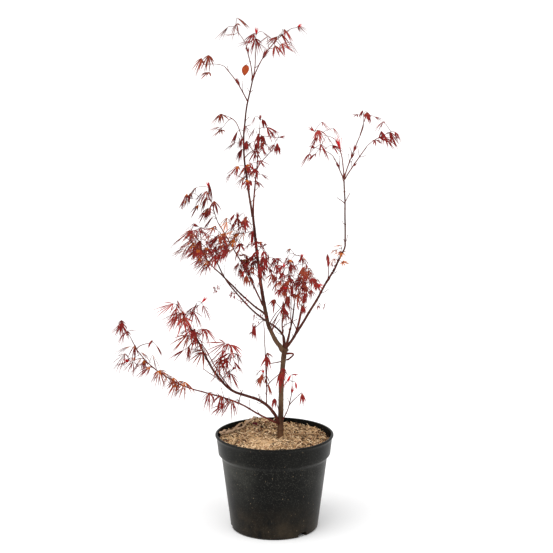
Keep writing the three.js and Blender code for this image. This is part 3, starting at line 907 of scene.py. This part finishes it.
def grow_mass(node, limb_sites, piles):
    """Leaf pairs stand along the wood in one mass and along the shoots that fill the rest of it."""
    rng = random.Random(node)
    room = Room(node)
    style = next(value for key, value in STYLES.items() if node.startswith(key))
    wanted = LEAVES[node.removesuffix("_leaves")]
    near = [s for s in limb_sites if room.depth(s["point"]) > -s["radius"] - 14 * MM]
    tips = [s for s in near if s["tip"]]
    if not near:
        near = sorted(limb_sites, key=lambda s: -room.depth(s["point"]))[:5]
    hubs, grown = [], 0
    shoots = []
    for tip in tips:
        shoots.append((*shoot_line(tip, leader_target(tip, room, rng), rng), 1))
    for limb in dict.fromkeys(s["limb"] for s in near):
        inside = [s for s in near if s["limb"] == limb and room.depth(s["point"]) > -s["radius"] - 5 * MM]
        if len(inside) > 3 and inside[0]["radius"] < 2.6 * MM:
            stretch = np.array([s["point"] for s in inside])
            shoots.append((stretch, None, 0))
    sites = list(near)
    while grown < wanted:
        if shoots:
            line, radii, first = shoots.pop(0)
        else:
            target = inner_point(room, hubs, rng, style)
            line, radii = shoot_line(choose_site(sites, target), target, rng)
            first = int(len(line) * 0.45)
        tints = spray_tints(node, style, rng)
        turn = rng.uniform(0, math.pi)
        if radii is not None:
            piles["shoots"].add(*tube(line, radii, 7))
        for index in leafy_places(line, rng, first):
            tangent = unit(line[index] - line[index - 1])
            hubs.append(line[index])
            if radii is not None:
                sites.append({"point": line[index], "way": tangent, "radius": radii[index], "age": 1})
            if grown < wanted:
                grown += leaf_pair(piles, line, index, turn, style, tints, room, rng)
            turn += math.pi / 2 + rng.gauss(0, 0.3)
        if radii is None:
            continue
        tip = unit(line[-1] - line[-2])
        if rng.random() < 0.4:
            young_leaf(piles, line[-1], tip, "bright" if rng.random() < 0.3 else tints[0], rng)
        else:
            bud(piles["shoots"], line[-1], tip, 2.2 * MM)
    return grown


# ---------- seed clusters and strays ----------
# Limb, height where the cluster leaves it, and how far the cluster hangs from it, in mm.
SEEDS = (
    ("left_front_bough", 600, (-34, -4, -16)),
    ("left_front_bough", 586, (-6, -8, -18)),
    ("left_front_bough", 566, (6, -8, -16)),
    ("leader_lower", 520, (-24, -12, -14)),
    ("leader_lower", 506, (-30, -10, -18)),
    ("right_bough_lower", 556, (10, -6, -16)),
    ("right_bough_lower", 662, (-4, -10, 22)),
    ("leader_right_arm", 906, (44, -8, -8)),
    ("middle_front_bough", 560, (26, -10, -10)),
)
# Thin shoots: limb, height where each leaves it, the point that it ends at in mm, its leaves.
THIN_SHOOTS = (
    ("low_front_bough", 343, (-178, -112, 496), 4),
    ("low_front_bough", 362, (-164, -42, 394), 0),
    ("low_front_bough", 309, (-38, -16, 327), 0),
    ("low_rear_bough", 288, (-76, 36, 323), 0),
    ("low_rear_bough", 400, (-296, 110, 424), 2),
    ("knee_sprout", 357, (-24, -40, 504), 0),
    ("knee_sprout", 366, (-17, -50, 431), 2),
    ("knee_sprout", 362, (16, -48, 388), 3),
    ("leader_lower", 466, (29, -30, 556), 2),
    ("leader_lower", 474, (18, -10, 530), 0),
    ("leader_lower", 481, (19, -14, 540), 2),
    ("leader_lower", 467, (12, -22, 506), 0),
    ("middle_rear_bough", 478, (24, 62, 508), 1),
    ("middle_rear_bough", 476, (53, 30, 496), 0),
    ("right_bough_lower", 458, (66, -14, 534), 2),
    ("leader_lower", 500, (-44, -8, 484), 2),
    ("trunk", 430, (40, -68, 588), 2),
    ("right_bough_lower", 462, (68, 58, 540), 2),
    ("right_bough_lower", 474, (2, -40, 552), 2),
    ("right_bough_lower", 600, (122, -64, 660), 2),
    ("leader_upper", 876, (-22, 14, 910), 2),
    ("leader_right_arm", 871, (-62, 46, 908), 2),
    ("leader_right_arm", 846, (4, 84, 900), 2),
    ("leader_upper", 948, (-56, -14, 953), 0),
    ("right_bough_upper", 782, (141, -62, 794), 0),
    ("right_bough_upper", 782, (170, -56, 803), 0),
    ("crown_right_rear_shoot", 930, (210, 20, 976), 1),
    ("foot_sprout", 300, (62, -30, 333), 1),
    ("trunk", 268, (1, -14, 314), 1),
)
# Young leaves still folded: limb, height, length in mm and tint.
YOUNG = (
    ("leader_side_shoot", 1038, 24, "crimson"),
    ("leader_side_shoot", 1044, 18, "crimson"),
    ("top_right_shoot", 1100, 26, "maroon"),
    ("top_right_shoot", 1106, 22, "crimson"),
    ("top_left_shoot", 1112, 14, "crimson"),
    ("crown_left_rear_shoot", 896, 38, "bright"),
    ("crown_left_front_shoot", 858, 16, "crimson"),
    ("crown_right_rear_shoot", 880, 24, "maroon"),
    ("crown_right_rear_shoot", 892, 20, "crimson"),
    ("crown_right_front_shoot", 868, 18, "crimson"),
    ("right_bough_upper", 836, 12, "crimson"),
    ("leader_upper", 1050, 12, "maroon"),
    ("foot_sprout", 330, 18, "bright"),
    ("middle_rear_bough", 496, 15, "sage"),
    ("middle_front_bough", 476, 15, "orange"),
    ("leader_lower", 500, 14, "crimson"),
    ("leader_lower", 690, 18, "russet"),
)


def spot_at(routes, limb, height):
    """The point of a limb that is nearest to a height in mm, and the limb's heading there."""
    line, _ = routes[limb]
    index = max(1, int(np.argmin(np.abs(line[:, 2] - height * MM))))
    return line[index], unit(line[min(index + 1, len(line) - 1)] - line[index - 1])


def seed_cluster(piles, start, offset, rng):
    """Young winged keys that hang on a fine forked stalk."""
    end = start + np.array(offset) * MM
    stalk = hermite(start, end, (end - start) * 0.6 + UP * 8 * MM, -UP * 12 * MM, 7)
    piles["petioles"].add(*tube(stalk, np.full(7, 0.35 * MM), 5))
    for _ in range(rng.randint(4, 7)):
        root = stalk[rng.randint(3, 6)]
        way = unit(np.array([rng.gauss(0, 1), rng.gauss(0, 1), rng.uniform(-1.4, 0.1)]))
        tip = root + way * rng.uniform(5, 11) * MM
        piles["petioles"].add(*tube(np.linspace(root, tip, 4), np.full(4, 0.25 * MM), 4))
        for sign in (1, -1):
            side = across(way) * sign
            nut = tip + side * 1.1 * MM
            line = np.linspace(nut - way * 1.3 * MM, nut + way * 1.3 * MM, 5)
            piles["seeds"].add(*tube(line, np.array([0.25, 1.0, 1.25, 0.95, 0.2]) * MM, 7))
            v = np.linspace(0, 1, 5)[:, None]
            wing = nut + side * 6 * MM * v + way * 3 * MM * v**2
            strap(piles["seeds"], lobe_mesh(wing, 2.6 * MM, way))


def thin_shoot(piles, start, way, end, leaves, rng):
    """A fine side shoot with buds, that may end in a few leaves."""
    end = np.array(end) * MM
    gap = np.linalg.norm(end - start)
    on = unit(end - start)
    count = max(8, int(gap / (4 * MM)))
    line = hermite(start, end, unit(way * 0.6 + on) * gap, on * gap, count)
    sway = np.array([noise.noise_vector(Vector(p) * 45)[:] for p in line])
    line = line + sway * 1.6 * MM * np.linspace(0, 1, count)[:, None]
    thick = min(1.6, 1.0 + gap * 4)
    piles["shoots"].add(*tube(line, np.linspace(thick, 0.75, count) * MM, 7))
    for i in range(3, count - 2, 5):
        side = across(line[i + 1] - line[i])
        bud(piles["shoots"], line[i] + side * 0.5 * MM, unit(side + UP), 1.8 * MM)
    tangent = unit(line[-1] - line[-2])
    level = across(tangent)
    for i in range(leaves):
        out = level if i % 2 else -level
        node = line[-1 - (i // 2) * max(1, int(12 * MM * count / gap))]
        leaf = draw_leaf(node, unit(out + tangent * 0.4), STYLES["knee"], rng, 1.0)
        add_leaf(piles, leaf, "crimson", rng.choice(("crimson", "russet")), rng)
    bud(piles["shoots"], line[-1], tangent, 2.4 * MM)


def stray_leaf(piles, start, rng):
    """One broad oval leaf, orange, hanging by its stalk under the top fork."""
    hub = start + np.array([-0.006, -0.006, -0.004])
    piles["petioles"].add(*tube(np.linspace(start, hub, 4), np.full(4, 0.4 * MM), 5))
    rows, cols = 14, 9
    grid = []
    for i in range(rows):
        v = i / (rows - 1)
        half = 8.2 * MM * math.sin(math.pi * v**0.8) ** 0.75 if 0 < i < rows - 1 else 0.2 * MM
        for j in range(cols):
            w = j / (cols - 1) * 2 - 1
            cup = 2.2 * MM * w * w + 0.5 * MM * math.sin(v * 17 + abs(w) * 4)
            grid.append(hub + np.array([w * half - 0.004 * v, -cup, -25 * MM * v]))
    faces = [
        (r * cols + c, r * cols + c + 1, (r + 1) * cols + c + 1, (r + 1) * cols + c)
        for r in range(rows - 1)
        for c in range(cols - 1)
    ]
    piles["stray"].add(grid, faces)


# ---------- container ----------
# The lip's outside, from the band upward: how far in from the rim and how far below the top, in mm.
LIP = ((3.5, 12), (2.9, 9), (1.8, 6.5), (0.7, 4.8), (0.1, 3.5), (0, 2.4), (0.4, 1.2), (1.3, 0.4), (2.6, 0), (4.6, 0.1))


def pot_profile(radius, height):
    """Half the container's section, from the middle of its underside round the lip to its inner floor."""
    wall = 2.4 * MM
    lip = 12 * MM
    band = 34 * MM
    step = 10 * MM
    band_top, band_foot = radius - 3.5 * MM, radius - 7.5 * MM
    wall_top, wall_foot = radius - 15 * MM, radius - 36 * MM
    shoulder = height - lip - band
    outer = [(0, 0), (wall_foot - 7 * MM, 0)]
    outer += [
        (wall_foot - 6 * MM + 6 * MM * math.sin(a), 6 * MM - 6 * MM * math.cos(a))
        for a in np.linspace(0.15, math.pi / 2, 7)
    ]
    outer += [(wall_top, shoulder - step), (wall_top + 1.2 * MM, shoulder - step + 2.2 * MM)]
    outer += [(band_foot - 0.8 * MM, shoulder - 1.6 * MM), (band_foot, shoulder), (band_foot + 0.3 * MM, shoulder + 2 * MM)]
    outer += [(band_top - 0.3 * MM, height - lip - 2 * MM)]
    outer += [(radius - d * MM, height - h * MM) for d, h in LIP]
    inner = [
        (radius - 5.6 * MM, height - 0.6 * MM),
        (band_top - wall * 0.6, height - lip),
        (band_foot - wall, shoulder),
        (wall_top - wall, shoulder - step),
        (wall_foot - wall, 3 * MM),
        (0, 3 * MM),
    ]
    return outer + inner


def make_pot(sides=160):
    _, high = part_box("nursery_pot")
    profile = pot_profile(high[0], high[2])
    fine = []
    for (r0, z0), (r1, z1) in zip(profile, profile[1:]):
        parts = max(1, int(math.hypot(r1 - r0, z1 - z0) / (9 * MM)))
        fine += [(r0 + (r1 - r0) * k / parts, z0 + (z1 - z0) * k / parts) for k in range(parts)]
    fine.append(profile[-1])
    shell = bmesh.new()
    rings = []
    for r, z in fine:
        if r < 1e-6:
            rings.append([shell.verts.new((0, 0, z))])
            continue
        turns = [i / sides * 2 * math.pi for i in range(sides)]
        rings.append([shell.verts.new((r * math.cos(t), r * math.sin(t), z)) for t in turns])
    for a, b in zip(rings, rings[1:]):
        for i in range(sides):
            j = (i + 1) % sides
            corners = [a[i % len(a)], a[j % len(a)], b[j % len(b)], b[i % len(b)]]
            shell.faces.new(list(dict.fromkeys(corners)))
    bmesh.ops.recalc_face_normals(shell, faces=shell.faces)
    mesh = bpy.data.meshes.new("nursery_pot_shell")
    shell.to_mesh(mesh)
    shell.free()
    mesh.polygons.foreach_set("use_smooth", [True] * len(mesh.polygons))
    mesh.materials.append(plastic_material(high[2]))
    pot = placed("nursery_pot_shell", mesh, ["nursery_pot"])
    cut_notches(pot, high[0] - 36 * MM)
    sharpen = pot.modifiers.new("edges", "EDGE_SPLIT")
    sharpen.split_angle = math.radians(50)
    apply_modifiers(pot)
    return pot


def apply_modifiers(piece):
    mesh = bpy.data.meshes.new_from_object(piece.evaluated_get(bpy.context.evaluated_depsgraph_get()))
    piece.modifiers.clear()
    piece.data = mesh


def prism(pile, corners, along):
    """A closed prism: a flat outline of corners, swept along a vector."""
    n = len(corners)
    faces = [tuple(range(n - 1, -1, -1)), tuple(range(n, 2 * n))]
    faces += [(k, (k + 1) % n, n + (k + 1) % n, n + k) for k in range(n)]
    pile.add([*corners, *(corner + along for corner in corners)], faces)


def boolean(pot, pile, operation):
    """Joins a pile's closed solids to the pot, or takes them from it."""
    mesh = bpy.data.meshes.new("tool")
    mesh.from_pydata(pile.points, [], pile.faces)
    solid = bmesh.new()
    solid.from_mesh(mesh)
    bmesh.ops.recalc_face_normals(solid, faces=solid.faces)
    solid.to_mesh(mesh)
    solid.free()
    tool = bpy.data.objects.new("tool", mesh)
    bpy.context.scene.collection.objects.link(tool)
    step = pot.modifiers.new("step", "BOOLEAN")
    step.object = tool
    step.operation = operation
    step.solver = "EXACT"
    apply_modifiers(pot)
    bpy.data.objects.remove(tool)


def cut_notches(pot, foot_radius, count=3):
    """Arched drainage notches round the foot, each with a lining that keeps the compost in."""
    linings, cutters = Pile(), Pile()
    for i in range(count):
        turn = math.radians(-50) + i / count * 2 * math.pi
        out = np.array([math.cos(turn), math.sin(turn), 0])
        side = np.array([-math.sin(turn), math.cos(turn), 0])
        section = [(-24, 1), (-6, 1), (-2, 6), (-1.5, 12.3), (-24, 12.3)]
        lining = [out * (foot_radius + r * MM) - side * 14 * MM + UP * z * MM for r, z in section]
        prism(linings, lining, side * 28 * MM)
        arch = [(-12, -3), (12, -3), (12, 7), (10.5, 10), (7, 11.4), (-7, 11.4), (-10.5, 10), (-12, 7)]
        mouth = [out * (foot_radius - 22 * MM) + side * x * MM + UP * z * MM for x, z in arch]
        prism(cutters, mouth, out * 44 * MM)
    boolean(pot, linings, "UNION")
    boolean(pot, cutters, "DIFFERENCE")


# ---------- mulch ----------
class Ground:
    """The mulch's upper surface, as the frame's node has it."""

    def __init__(self):
        self.tree = tree_of("bark_mulch")
        low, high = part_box("bark_mulch")
        self.radius = high[0]
        self.top = high[2]

    def height(self, x, y):
        hit = self.tree.ray_cast(Vector((x, y, self.top + 0.05)), Vector((0, 0, -1)))[0]
        return hit.z if hit else self.top - 16 * MM


def mulch_bed(ground, rings=44, sides=180):
    """The dark crumbly layer under the chips, closed below. Its darkness is partly painted shade that keeps the gaps
    between the chips dark.
    """
    points, faces = [], []
    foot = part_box("bark_mulch")[0][2]
    for r in range(rings + 1):
        radius = max(0.2 * MM, (ground.radius + 1.5 * MM) * r / rings)
        for i in range(sides):
            t = i / sides * 2 * math.pi
            x, y = radius * math.cos(t), radius * math.sin(t)
            rough = noise.noise(Vector((x, y, 0)) * 130) * 1.8 + noise.noise(Vector((x, y, 1)) * 420) * 0.9
            scale = min(1, ground.radius * 0.97 / max(radius, 1e-6))
            pit = 11 * MM * math.exp(-(((x - HOLE[0]) ** 2 + (y - HOLE[1]) ** 2) / HOLE[2] ** 2))
            points.append((x, y, ground.height(x * scale, y * scale) - 2.4 * MM + rough * MM - pit))
    for i in range(sides):
        x, y, _ = points[rings * sides + i]
        points.append((x, y, foot))
    for r in range(rings + 1):
        for i in range(sides):
            j = (i + 1) % sides
            faces.append((r * sides + i, (r + 1) * sides + i, (r + 1) * sides + j, r * sides + j))
    faces.append(tuple(range(sides - 1, -1, -1)))
    faces.append(tuple(range((rings + 1) * sides, (rings + 2) * sides))[::-1])
    pile = Pile()
    pile.add(points, faces)
    return pile


def frame_of(yaw, tilt, roll):
    """Axes of a chip: its length, its width and its upper side."""
    along = np.array([math.cos(yaw) * math.cos(tilt), math.sin(yaw) * math.cos(tilt), math.sin(tilt)])
    side = unit(np.cross(UP, along))
    face = np.cross(along, side)
    turned = side * math.cos(roll) + face * math.sin(roll)
    return along, turned, np.cross(along, turned)


def flake(pile, centre, axes, size, rng):
    """A torn, slightly bent flat chip of eight corners and a waist."""
    along, side, face = axes
    long, wide, thin = size
    rows = []
    for share, width in ((-0.5, rng.uniform(0.25, 0.9)), (0, 1.0), (0.5, rng.uniform(0.2, 0.8))):
        bow = face * long * 0.1 * (0.25 - share * share) * rng.uniform(-1, 1.5)
        skew = side * wide * rng.uniform(-0.2, 0.2)
        mid = centre + along * long * share + bow + skew
        for a, b in ((-1, -1), (1, -1), (1, 1), (-1, 1)):
            rows.append(mid + side * wide * width * a / 2 + face * thin * b / 2)
    faces = [(3, 2, 1, 0), (8, 9, 10, 11)]
    for start in (0, 4):
        faces += [(start + k, start + (k + 1) % 4, start + 4 + (k + 1) % 4, start + 4 + k) for k in range(4)]
    pile.add(rows, faces)


def curl(pile, centre, axes, length, wide, rng):
    """A shaving: a thin ribbon bent into part of a ring or a loose spiral."""
    along, side, face = axes
    bend = rng.uniform(0.9, 4.2)
    radius = length / bend
    rows = []
    count = 9
    for i in range(count):
        angle = (i / (count - 1) - 0.5) * bend
        out = face * math.cos(angle) + along * math.sin(angle)
        mid = centre - face * radius * 0.7 + out * radius + side * wide * (i / count) * 0.8
        for a, b in ((-1, -1), (1, -1), (1, 1), (-1, 1)):
            rows.append(mid + side * wide * a / 2 + out * 0.25 * MM * b)
    faces = [(3, 2, 1, 0), tuple(range(4 * count - 4, 4 * count))]
    for start in range(0, 4 * (count - 1), 4):
        faces += [(start + k, start + (k + 1) % 4, start + 4 + (k + 1) % 4, start + 4 + k) for k in range(4)]
    pile.add(rows, faces)


def scatter_mulch(ground, trunk_foot):
    """Flakes, splinters and shavings over the bed, dealt out to a pile for each tint."""
    rng = random.Random("mulch")
    piles = {name: Pile() for name in MULCH_TINTS}
    names = list(MULCH_TINTS)
    for index in range(FLAKES + SPLINTERS + CURLS):
        kind = "flake" if index < FLAKES else "splinter" if index < FLAKES + SPLINTERS else "curl"
        long = {"flake": rng.uniform(4, 14), "splinter": rng.uniform(9, 28), "curl": rng.uniform(8, 24)}[kind] * MM
        limit = ground.radius - 1 * MM - long * 0.42
        while True:
            x, y = rng.uniform(-limit, limit), rng.uniform(-limit, limit)
            beside_trunk = math.hypot(x - trunk_foot[0], y - trunk_foot[1]) > 9 * MM
            beside_hole = math.hypot(x - HOLE[0], y - HOLE[1]) > HOLE[2] + long * 0.35
            if math.hypot(x, y) < limit and beside_trunk and beside_hole:
                break
        paleness = math.exp(-(((x - PALE_PATCH[0]) ** 2 + (y - PALE_PATCH[1]) ** 2) / PALE_PATCH[2] ** 2))
        shares = PALE_SHARES if rng.random() < paleness else DULL_SHARES
        tint = rng.choices(names, shares)[0]
        axes = frame_of(rng.uniform(0, 2 * math.pi), rng.gauss(0.08, 0.32), rng.gauss(0, 0.75))
        centre = np.array([x, y, ground.height(x, y) + rng.uniform(-4, 3) * MM])
        if kind == "flake":
            flake(piles[tint], centre, axes, (long, rng.uniform(1.8, 5) * MM, rng.uniform(0.5, 1.1) * MM), rng)
        elif kind == "splinter":
            flake(piles[tint], centre, axes, (long, rng.uniform(0.7, 1.7) * MM, rng.uniform(0.5, 0.9) * MM), rng)
        else:
            curl(piles[tint], centre, axes, long, rng.uniform(1.0, 2.6) * MM, rng)
    return piles


def bark_strips(piles, ground):
    """Long strips of bark that lie on the chips, up towards the rim at the back left."""
    rng = random.Random("strips")
    for (x0, y0), (x1, y1), wide, lift in STRIPS:
        count = 18
        rows = []
        way = unit(np.array([x1 - x0, y1 - y0, 0.0]))
        side = np.array([-way[1], way[0], 0])
        for i in range(count):
            share = i / (count - 1)
            x, y = (x0 + (x1 - x0) * share) * MM, (y0 + (y1 - y0) * share) * MM
            rise = (lift + 1.2 * math.sin(share * 11)) * MM
            mid = np.array([x, y, ground.height(x, y) + rise]) + side * 1.5 * MM * math.sin(share * 5 + wide)
            half = wide / 2 * MM * (0.55 + 0.45 * math.sin(math.pi * min(1, share * 1.3 + 0.15)))
            for a, b in ((-1, 0.6), (0, -0.9), (1, 0.6), (1, 1.6), (0, 0.4), (-1, 1.6)):
                ragged = rng.uniform(0.82, 1.12)
                rows.append(mid + side * half * a * ragged + UP * MM * (b + rng.uniform(-0.25, 0.25)))
        faces = [tuple(range(5, -1, -1)), tuple(range(6 * count - 6, 6 * count))]
        for start in range(0, 6 * (count - 1), 6):
            faces += [(start + k, start + (k + 1) % 6, start + 6 + (k + 1) % 6, start + 6 + k) for k in range(6)]
        piles["strip"].add(rows, faces)


def fallen_leaf(piles, ground, x, y, turn):
    """A shrivelled leaf that lies on the chips."""
    rng = random.Random("fallen")
    hub = np.array([x, y, ground.height(x, y) + 7 * MM])
    for i in range(5):
        angle = turn + (i - 2) * 0.5
        way = np.array([math.cos(angle), math.sin(angle), rng.uniform(-0.1, 0.2)])
        v = np.linspace(0, 1, 9)[:, None]
        path = hub + way * rng.uniform(14, 20) * MM * v - UP * 5 * MM * v**2
        strap(piles["wine"], lobe_mesh(path, 5.5 * MM, UP))


# ---------- studio ----------
def studio():
    floor_mesh = bpy.data.meshes.new("floor")
    size = 400
    floor_mesh.from_pydata([(-size, -size, 0), (size, -size, 0), (size, size, 0), (-size, size, 0)], [], [(0, 1, 2, 3)])
    floor_nodes = Nodes("floor", (0.93, 0.93, 0.92), 0.7)
    floor_nodes.colour(floor_nodes.ramp(floor_nodes.noise(3, 2), ((0, (0.92,) * 3), (1, (0.95,) * 3))))
    floor_mesh.materials.append(floor_nodes.material)
    floor = bpy.data.objects.new("floor", floor_mesh)
    bpy.context.scene.collection.objects.link(floor)
    bpy.context.scene.world = white_room()
    for name, power, spread, turn, lift in LAMPS:
        data = bpy.data.lights.new(name, "SUN")
        data.energy = power
        data.angle = math.radians(spread)
        lamp = bpy.data.objects.new(name, data)
        lamp.rotation_euler = (math.radians(90 - lift), 0, math.radians(turn))
        bpy.context.scene.collection.objects.link(lamp)


def white_room():
    """Even light from all sides. What the camera sees of the room is plain white."""
    world = bpy.data.worlds.new("studio")
    world.use_nodes = True
    tree = world.node_tree
    background = tree.nodes["Background"]
    background.inputs["Color"].default_value = (1, 1, 1, 1)
    strength = tree.nodes.new("ShaderNodeMix")
    strength.inputs["A"].default_value = ROOM_LIGHT
    strength.inputs["B"].default_value = 1.1
    tree.links.new(tree.nodes.new("ShaderNodeLightPath").outputs["Is Camera Ray"], strength.inputs["Factor"])
    tree.links.new(strength.outputs["Result"], background.inputs["Strength"])
    return world


def make_camera():
    data = bpy.data.cameras.new("camera")
    data.sensor_width = 36
    data.lens = CAMERA_LENS
    camera = bpy.data.objects.new("camera", data)
    camera.location = CAMERA_PLACE
    camera.rotation_euler = (math.pi / 2 - CAMERA_PITCH, 0, 0)
    bpy.context.scene.collection.objects.link(camera)
    bpy.context.scene.camera = camera


# ---------- the plant ----------
def make_plant():
    routes = read_limbs()
    trunk_pile, limb_pile, shoot_pile = Pile(), Pile(), Pile()
    barks = {"trunk": (trunk_pile, []), "limb": (limb_pile, []), "shoot": (shoot_pile, [])}
    sites = []
    buds = Pile()
    for node, route in routes.items():
        rng = random.Random(node)
        kind = "trunk" if node in ("trunk", "leader_lower") else "limb" if route[1].mean() > 1.75 * MM else "shoot"
        pile, nodes = barks[kind]
        fine, places, thick, rings = bark_limb(pile, node, route, rng)
        nodes.append(node)
        if node != "trunk":
            clothe_limb(buds, fine, places, thick, rings, rng)
            marks = list(range(len(fine) - 1, 4, -3))
            for i in reversed(marks):
                way = unit(fine[i] - fine[i - 2])
                site = {"point": fine[i], "way": way, "radius": thick[i], "age": 0, "limb": node}
                sites.append(site | {"tip": i == marks[0]})
    for kind, (pile, nodes) in barks.items():
        pile.piece(f"bark_{kind}", bark_material(kind), "bark", nodes)
    names = ("petioles", "shoots", "seeds", "stray", *TINTS)
    piles = {name: Pile() for name in names}
    total = 0
    for node in MASSES:
        total += grow_mass(node, sites, piles)
    rng = random.Random("strays")
    for limb, height, offset in SEEDS:
        start, _ = spot_at(routes, limb, height)
        seed_cluster(piles, start, offset, rng)
    for limb, height, end, leaves in THIN_SHOOTS:
        start, way = spot_at(routes, limb, height)
        thin_shoot(piles, start, way, end, leaves, rng)
    for limb, height, size, tint in YOUNG:
        start, way = spot_at(routes, limb, height)
        out = across(way) * rng.choice((1, -1))
        young_leaf(piles, start + out * 1.2 * MM, unit(way + out * 0.5), tint, rng, (size * 0.9, size * 1.1))
    stray_leaf(piles, routes["leader_upper"][0][-1] + np.array([-0.008, -0.002, 0.036]), rng)
    buds.piece("buds_and_spurs", bark_material("shoot"), "bark")
    shoot_look = bpy.data.materials["bark_shoot"]
    piles["shoots"].piece("twigs", shoot_look, "bark", MASSES)
    petiole_look = leaf_material("petiole", (0.14, 0.03, 0.024))
    piles["petioles"].piece("petioles", petiole_look, "foliage")
    piles["seeds"].piece("seed_clusters", leaf_material("seed", (0.24, 0.012, 0.014)), "foliage")
    piles["stray"].piece("stray_leaf", leaf_material("stray", (0.36, 0.06, 0.015)), "foliage")
    for name, colour in TINTS.items():
        piles[name].piece(f"leaves_{name}", leaf_material(name, colour), "foliage", MASSES)
    print("leaves:", total)
    return routes


def make_container(routes):
    make_pot()
    for slot in frame["nodes"]["potting_compost"].material_slots:
        slot.material = compost_material()
    ground = Ground()
    mulch_bed(ground).piece("mulch_bed", bed_material(), "mulch", ["bark_mulch"])
    piles = scatter_mulch(ground, routes["trunk"][0][0])
    bark_strips(piles, ground)
    fallen_leaf(piles, ground, -0.052, 0.072, 0.4)
    for name, colour in MULCH_TINTS.items():
        piles[name].piece(f"mulch_{name}", chip_material(name, colour), "mulch", smooth=False)


make_camera()
studio()
bpy.context.scene.view_settings.view_transform = "Standard"
make_container(make_plant())
